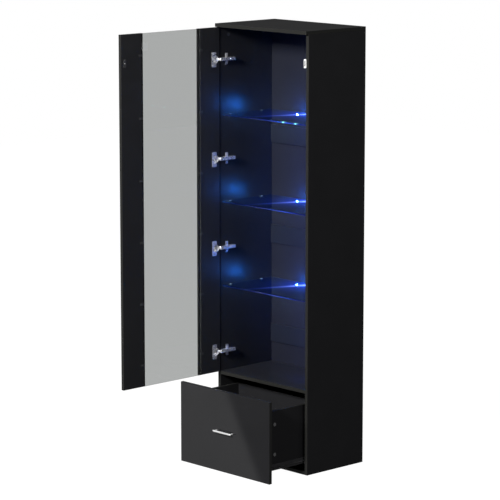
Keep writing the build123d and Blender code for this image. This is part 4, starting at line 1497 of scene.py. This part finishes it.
@dataclass
class Studio:
    """Camera, pale floor, white surround and soft lights.

    Fields:
        eye: the camera's place.
        target: what it looks at.
        lens: focal length in millimetres on a 36 mm sensor.
        key_from: direction to the key light.
        key_distance: how far away it is.
        key_size: its width.
        key_power: its power in watts.
        side_from: the place of the light from the right.
        side_size: its width.
        side_power: its power in watts.
        fill: the brightness of the dim surround.
        card: the brightness of the card that the gloss front mirrors.
        card_edge: two directions along the card's straight edge.
        card_side: a direction on the lit side of that edge.
        card_blur: how far on each side of the edge the card fades.
        card_top: the directions' heights over which the card starts.
        card_front: the directions' Y over which it starts.
        through_depth: the bounces after which the surround isn't white through glass.
        middle: the point on the cabinet's axis that the key light faces.
        wash_from: the place of the blue light over the shelves.
        wash_at: the point it faces.
        wash_size: its width and height.
        wash_power: its power in watts.
        lamp_at: X and Y of each shelf's small lamp.
        lamp_lift: how far it is above its shelf.
        lamp_radius: its radius.
        floor_half: half the floor's width.
        floor_drop: how far the floor is below the cabinet.
    """

    eye: Point = (7.6624, -7.4658, 2.7618)
    target: Point = (-0.2438, 0.0, 0.8792)
    lens: float = 183.25
    key_from: Point = (0.13, -1.0, 0.5)
    key_distance: float = 6.0
    key_size: float = 0.9
    key_power: float = 820.0
    side_from: Point = (5.0, -0.3, 3.0)
    side_size: float = 2.0
    side_power: float = 105.0
    fill: float = 0.07
    card: float = 0.55
    card_edge: tuple[Point, Point] = ((-0.7148, -0.6622, -0.2248), (-0.7003, -0.6658, -0.2579))
    card_side: Point = (-1.0, 0.2, -0.1)
    card_blur: float = 0.0012
    card_top: tuple[float, float] = (-0.195, -0.21)
    card_front: tuple[float, float] = (-0.4, -0.6)
    through_depth: float = 3.0
    middle: Point = (0.0, 0.0, 0.95)
    wash_from: Point = (0.14, -0.145, 1.0)
    wash_at: Point = (0.09, 0.2, 1.0)
    wash_size: tuple[float, float] = (0.06, 1.15)
    wash_power: float = 6.5
    lamp_at: tuple[float, float] = (-0.063, 0.108)
    lamp_lift: float = 0.006
    lamp_radius: float = 0.003
    floor_half: float = 9.0
    floor_drop: float = 0.0005

    def camera(self) -> None:
        """A camera at the eye, turned to the target."""
        data = bpy.data.cameras.new("camera")
        data.lens = self.lens
        data.sensor_width = 36.0
        data.clip_end = 200.0
        camera = bpy.data.objects.new("camera", data)
        camera.location = self.eye
        gaze = Vector(self.target) - Vector(self.eye)
        camera.rotation_euler = gaze.to_track_quat("-Z", "Y").to_euler()
        bpy.context.scene.collection.objects.link(camera)
        bpy.context.scene.camera = camera

    def area(
        self,
        name: str,
        place: Point,
        aim: Point,
        size: tuple[float, float],
        power: float,
        colour: Colour = (1.0, 1.0, 1.0),
    ) -> bpy.types.Object:
        """A soft rectangular light.

        Args:
            name: the light's name.
            place: its middle.
            aim: the point it faces.
            size: width and height.
            power: watts.
            colour: its colour.
        Returns:
            The light object.
        """
        data = bpy.data.lights.new(name, "AREA")
        data.shape = "RECTANGLE"
        data.size, data.size_y = size
        data.energy = power
        data.color = colour
        light = bpy.data.objects.new(name, data)
        light.location = place
        light.rotation_euler = (Vector(aim) - Vector(place)).to_track_quat("-Z", "Y").to_euler()
        bpy.context.scene.collection.objects.link(light)
        return light

    def surround(self) -> None:
        """White where it is seen directly or through glass, and dim where it lights or is reflected.

        One bright card shows only in reflections: it lies where direction . edge normal is above zero,
        low down and in front, so that its straight edge falls across the gloss drawer front.
        """
        world = bpy.data.worlds.new("surround")
        world.use_nodes = True
        bpy.context.scene.world = world
        world.node_tree.nodes.clear()
        sheet = Sheet(world.node_tree)
        direction = sheet.coords("Generated")
        first, second = (Vector(corner) for corner in self.card_edge)
        edge = second.cross(first).normalized()
        edge = edge if edge.dot(Vector(self.card_side)) > 0 else -edge
        side = sheet.vector("DOT_PRODUCT", direction, tuple(edge), output="Value")
        parts = sheet.place("SeparateXYZ")
        sheet.feed(direction, parts.inputs[0])
        low = sheet.step(parts.outputs["Z"], *self.card_top)
        front = sheet.times(low, sheet.step(parts.outputs["Y"], *self.card_front))
        lit = sheet.times(sheet.step(side, -self.card_blur, self.card_blur), front)
        bright = sheet.between(lit, self.fill, self.card)
        path = sheet.place("LightPath")
        early = sheet.rest_of(path.outputs["Diffuse Depth"], clamp=True)
        further = sheet.math("SUBTRACT", path.outputs["Ray Depth"], self.through_depth, clamp=True)
        straight = sheet.times(early, sheet.rest_of(further))
        through = sheet.times(path.outputs["Is Transmission Ray"], straight)
        seen = sheet.plus(path.outputs["Is Camera Ray"], through, clamp=True)
        studio = sheet.between(path.outputs["Is Glossy Ray"], self.fill, bright)
        back = sheet.place("Background")
        sheet.feed(sheet.between(seen, studio, 1.0), back.inputs["Strength"])
        sheet.settle(back, Color=WHITE)
        end = sheet.place("OutputWorld")
        sheet.feed(back.outputs[0], end.inputs["Surface"])

    def floor(self) -> None:
        """A wide pale floor, bright enough to merge with the surround."""
        wide, down = self.floor_half, -self.floor_drop
        corners = np.array([(x * wide, y * wide, down) for x, y in ((-1, -1), (1, -1), (1, 1), (-1, 1))])
        floor = Surface.mesh("floor", corners, [(0, 1, 2, 3)], smooth=False)
        material = bpy.data.materials.new("pale_floor")
        material.use_nodes = True
        sheet = Sheet(material.node_tree)
        shader = material.node_tree.nodes["Principled BSDF"]
        cloud = sheet.noise(sheet.coords(), 3.0, 4.0)
        sheet.feed(sheet.blend(cloud, (0.03, 0.03, 0.03), (0.035, 0.035, 0.035)), shader.inputs["Base Color"])
        sheet.settle(shader, Roughness=0.8, Emission_Color=WHITE, Emission_Strength=1.0)
        floor.data.materials.append(material)
        floor.visible_diffuse = False
        floor.visible_glossy = False

    def lights(self) -> None:
        """The key and side lights, and the blue lamps' light inside the cabinet."""
        place = Vector(self.key_from).normalized() * self.key_distance + Vector(self.middle)
        key_size = (self.key_size, self.key_size)
        self.area("key", tuple(place), self.middle, key_size, self.key_power, (1.0, 1.0, 0.985))
        side_size = (self.side_size, self.side_size)
        self.area("side", self.side_from, (0.0, 0.0, 1.0), side_size, self.side_power)
        wash = self.area(
            "shelf_wash", self.wash_from, self.wash_at, self.wash_size, self.wash_power, (0.02, 0.1, 1.0),
        )
        wash.data.spread = math.radians(130.0)
        self.hide(wash)
        for node in LitShelves.nodes():
            data = bpy.data.lights.new("lamp", "POINT")
            data.energy = 1.0
            data.color = (0.015, 0.2, 1.0)
            data.shadow_soft_size = self.lamp_radius
            lamp = bpy.data.objects.new("lamp_" + node, data)
            lamp.location = (*self.lamp_at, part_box(node)[1].z + self.lamp_lift)
            self.hide(lamp)
            bpy.context.scene.collection.objects.link(lamp)

    @staticmethod
    def hide(light: bpy.types.Object) -> None:
        """Keep a light from being seen directly or through glass."""
        light.visible_camera = False
        light.visible_transmission = False

    def build(self) -> None:
        """Set the whole stage."""
        scene = bpy.context.scene
        scene.view_settings.view_transform = "Standard"
        scene.view_settings.look = "None"
        self.camera()
        self.surround()
        self.floor()
        self.lights()
        LOG.info("studio set")


def main() -> None:
    """Build the cabinet's looks in order and report each piece."""
    logging.basicConfig(level=logging.INFO, format="%(name)s: %(message)s")
    Dresser().build()
    LitShelves().build()
    DoorPane().build()
    SmallFittings().build()
    Studio().build()


if __name__ == "__main__":
    main()
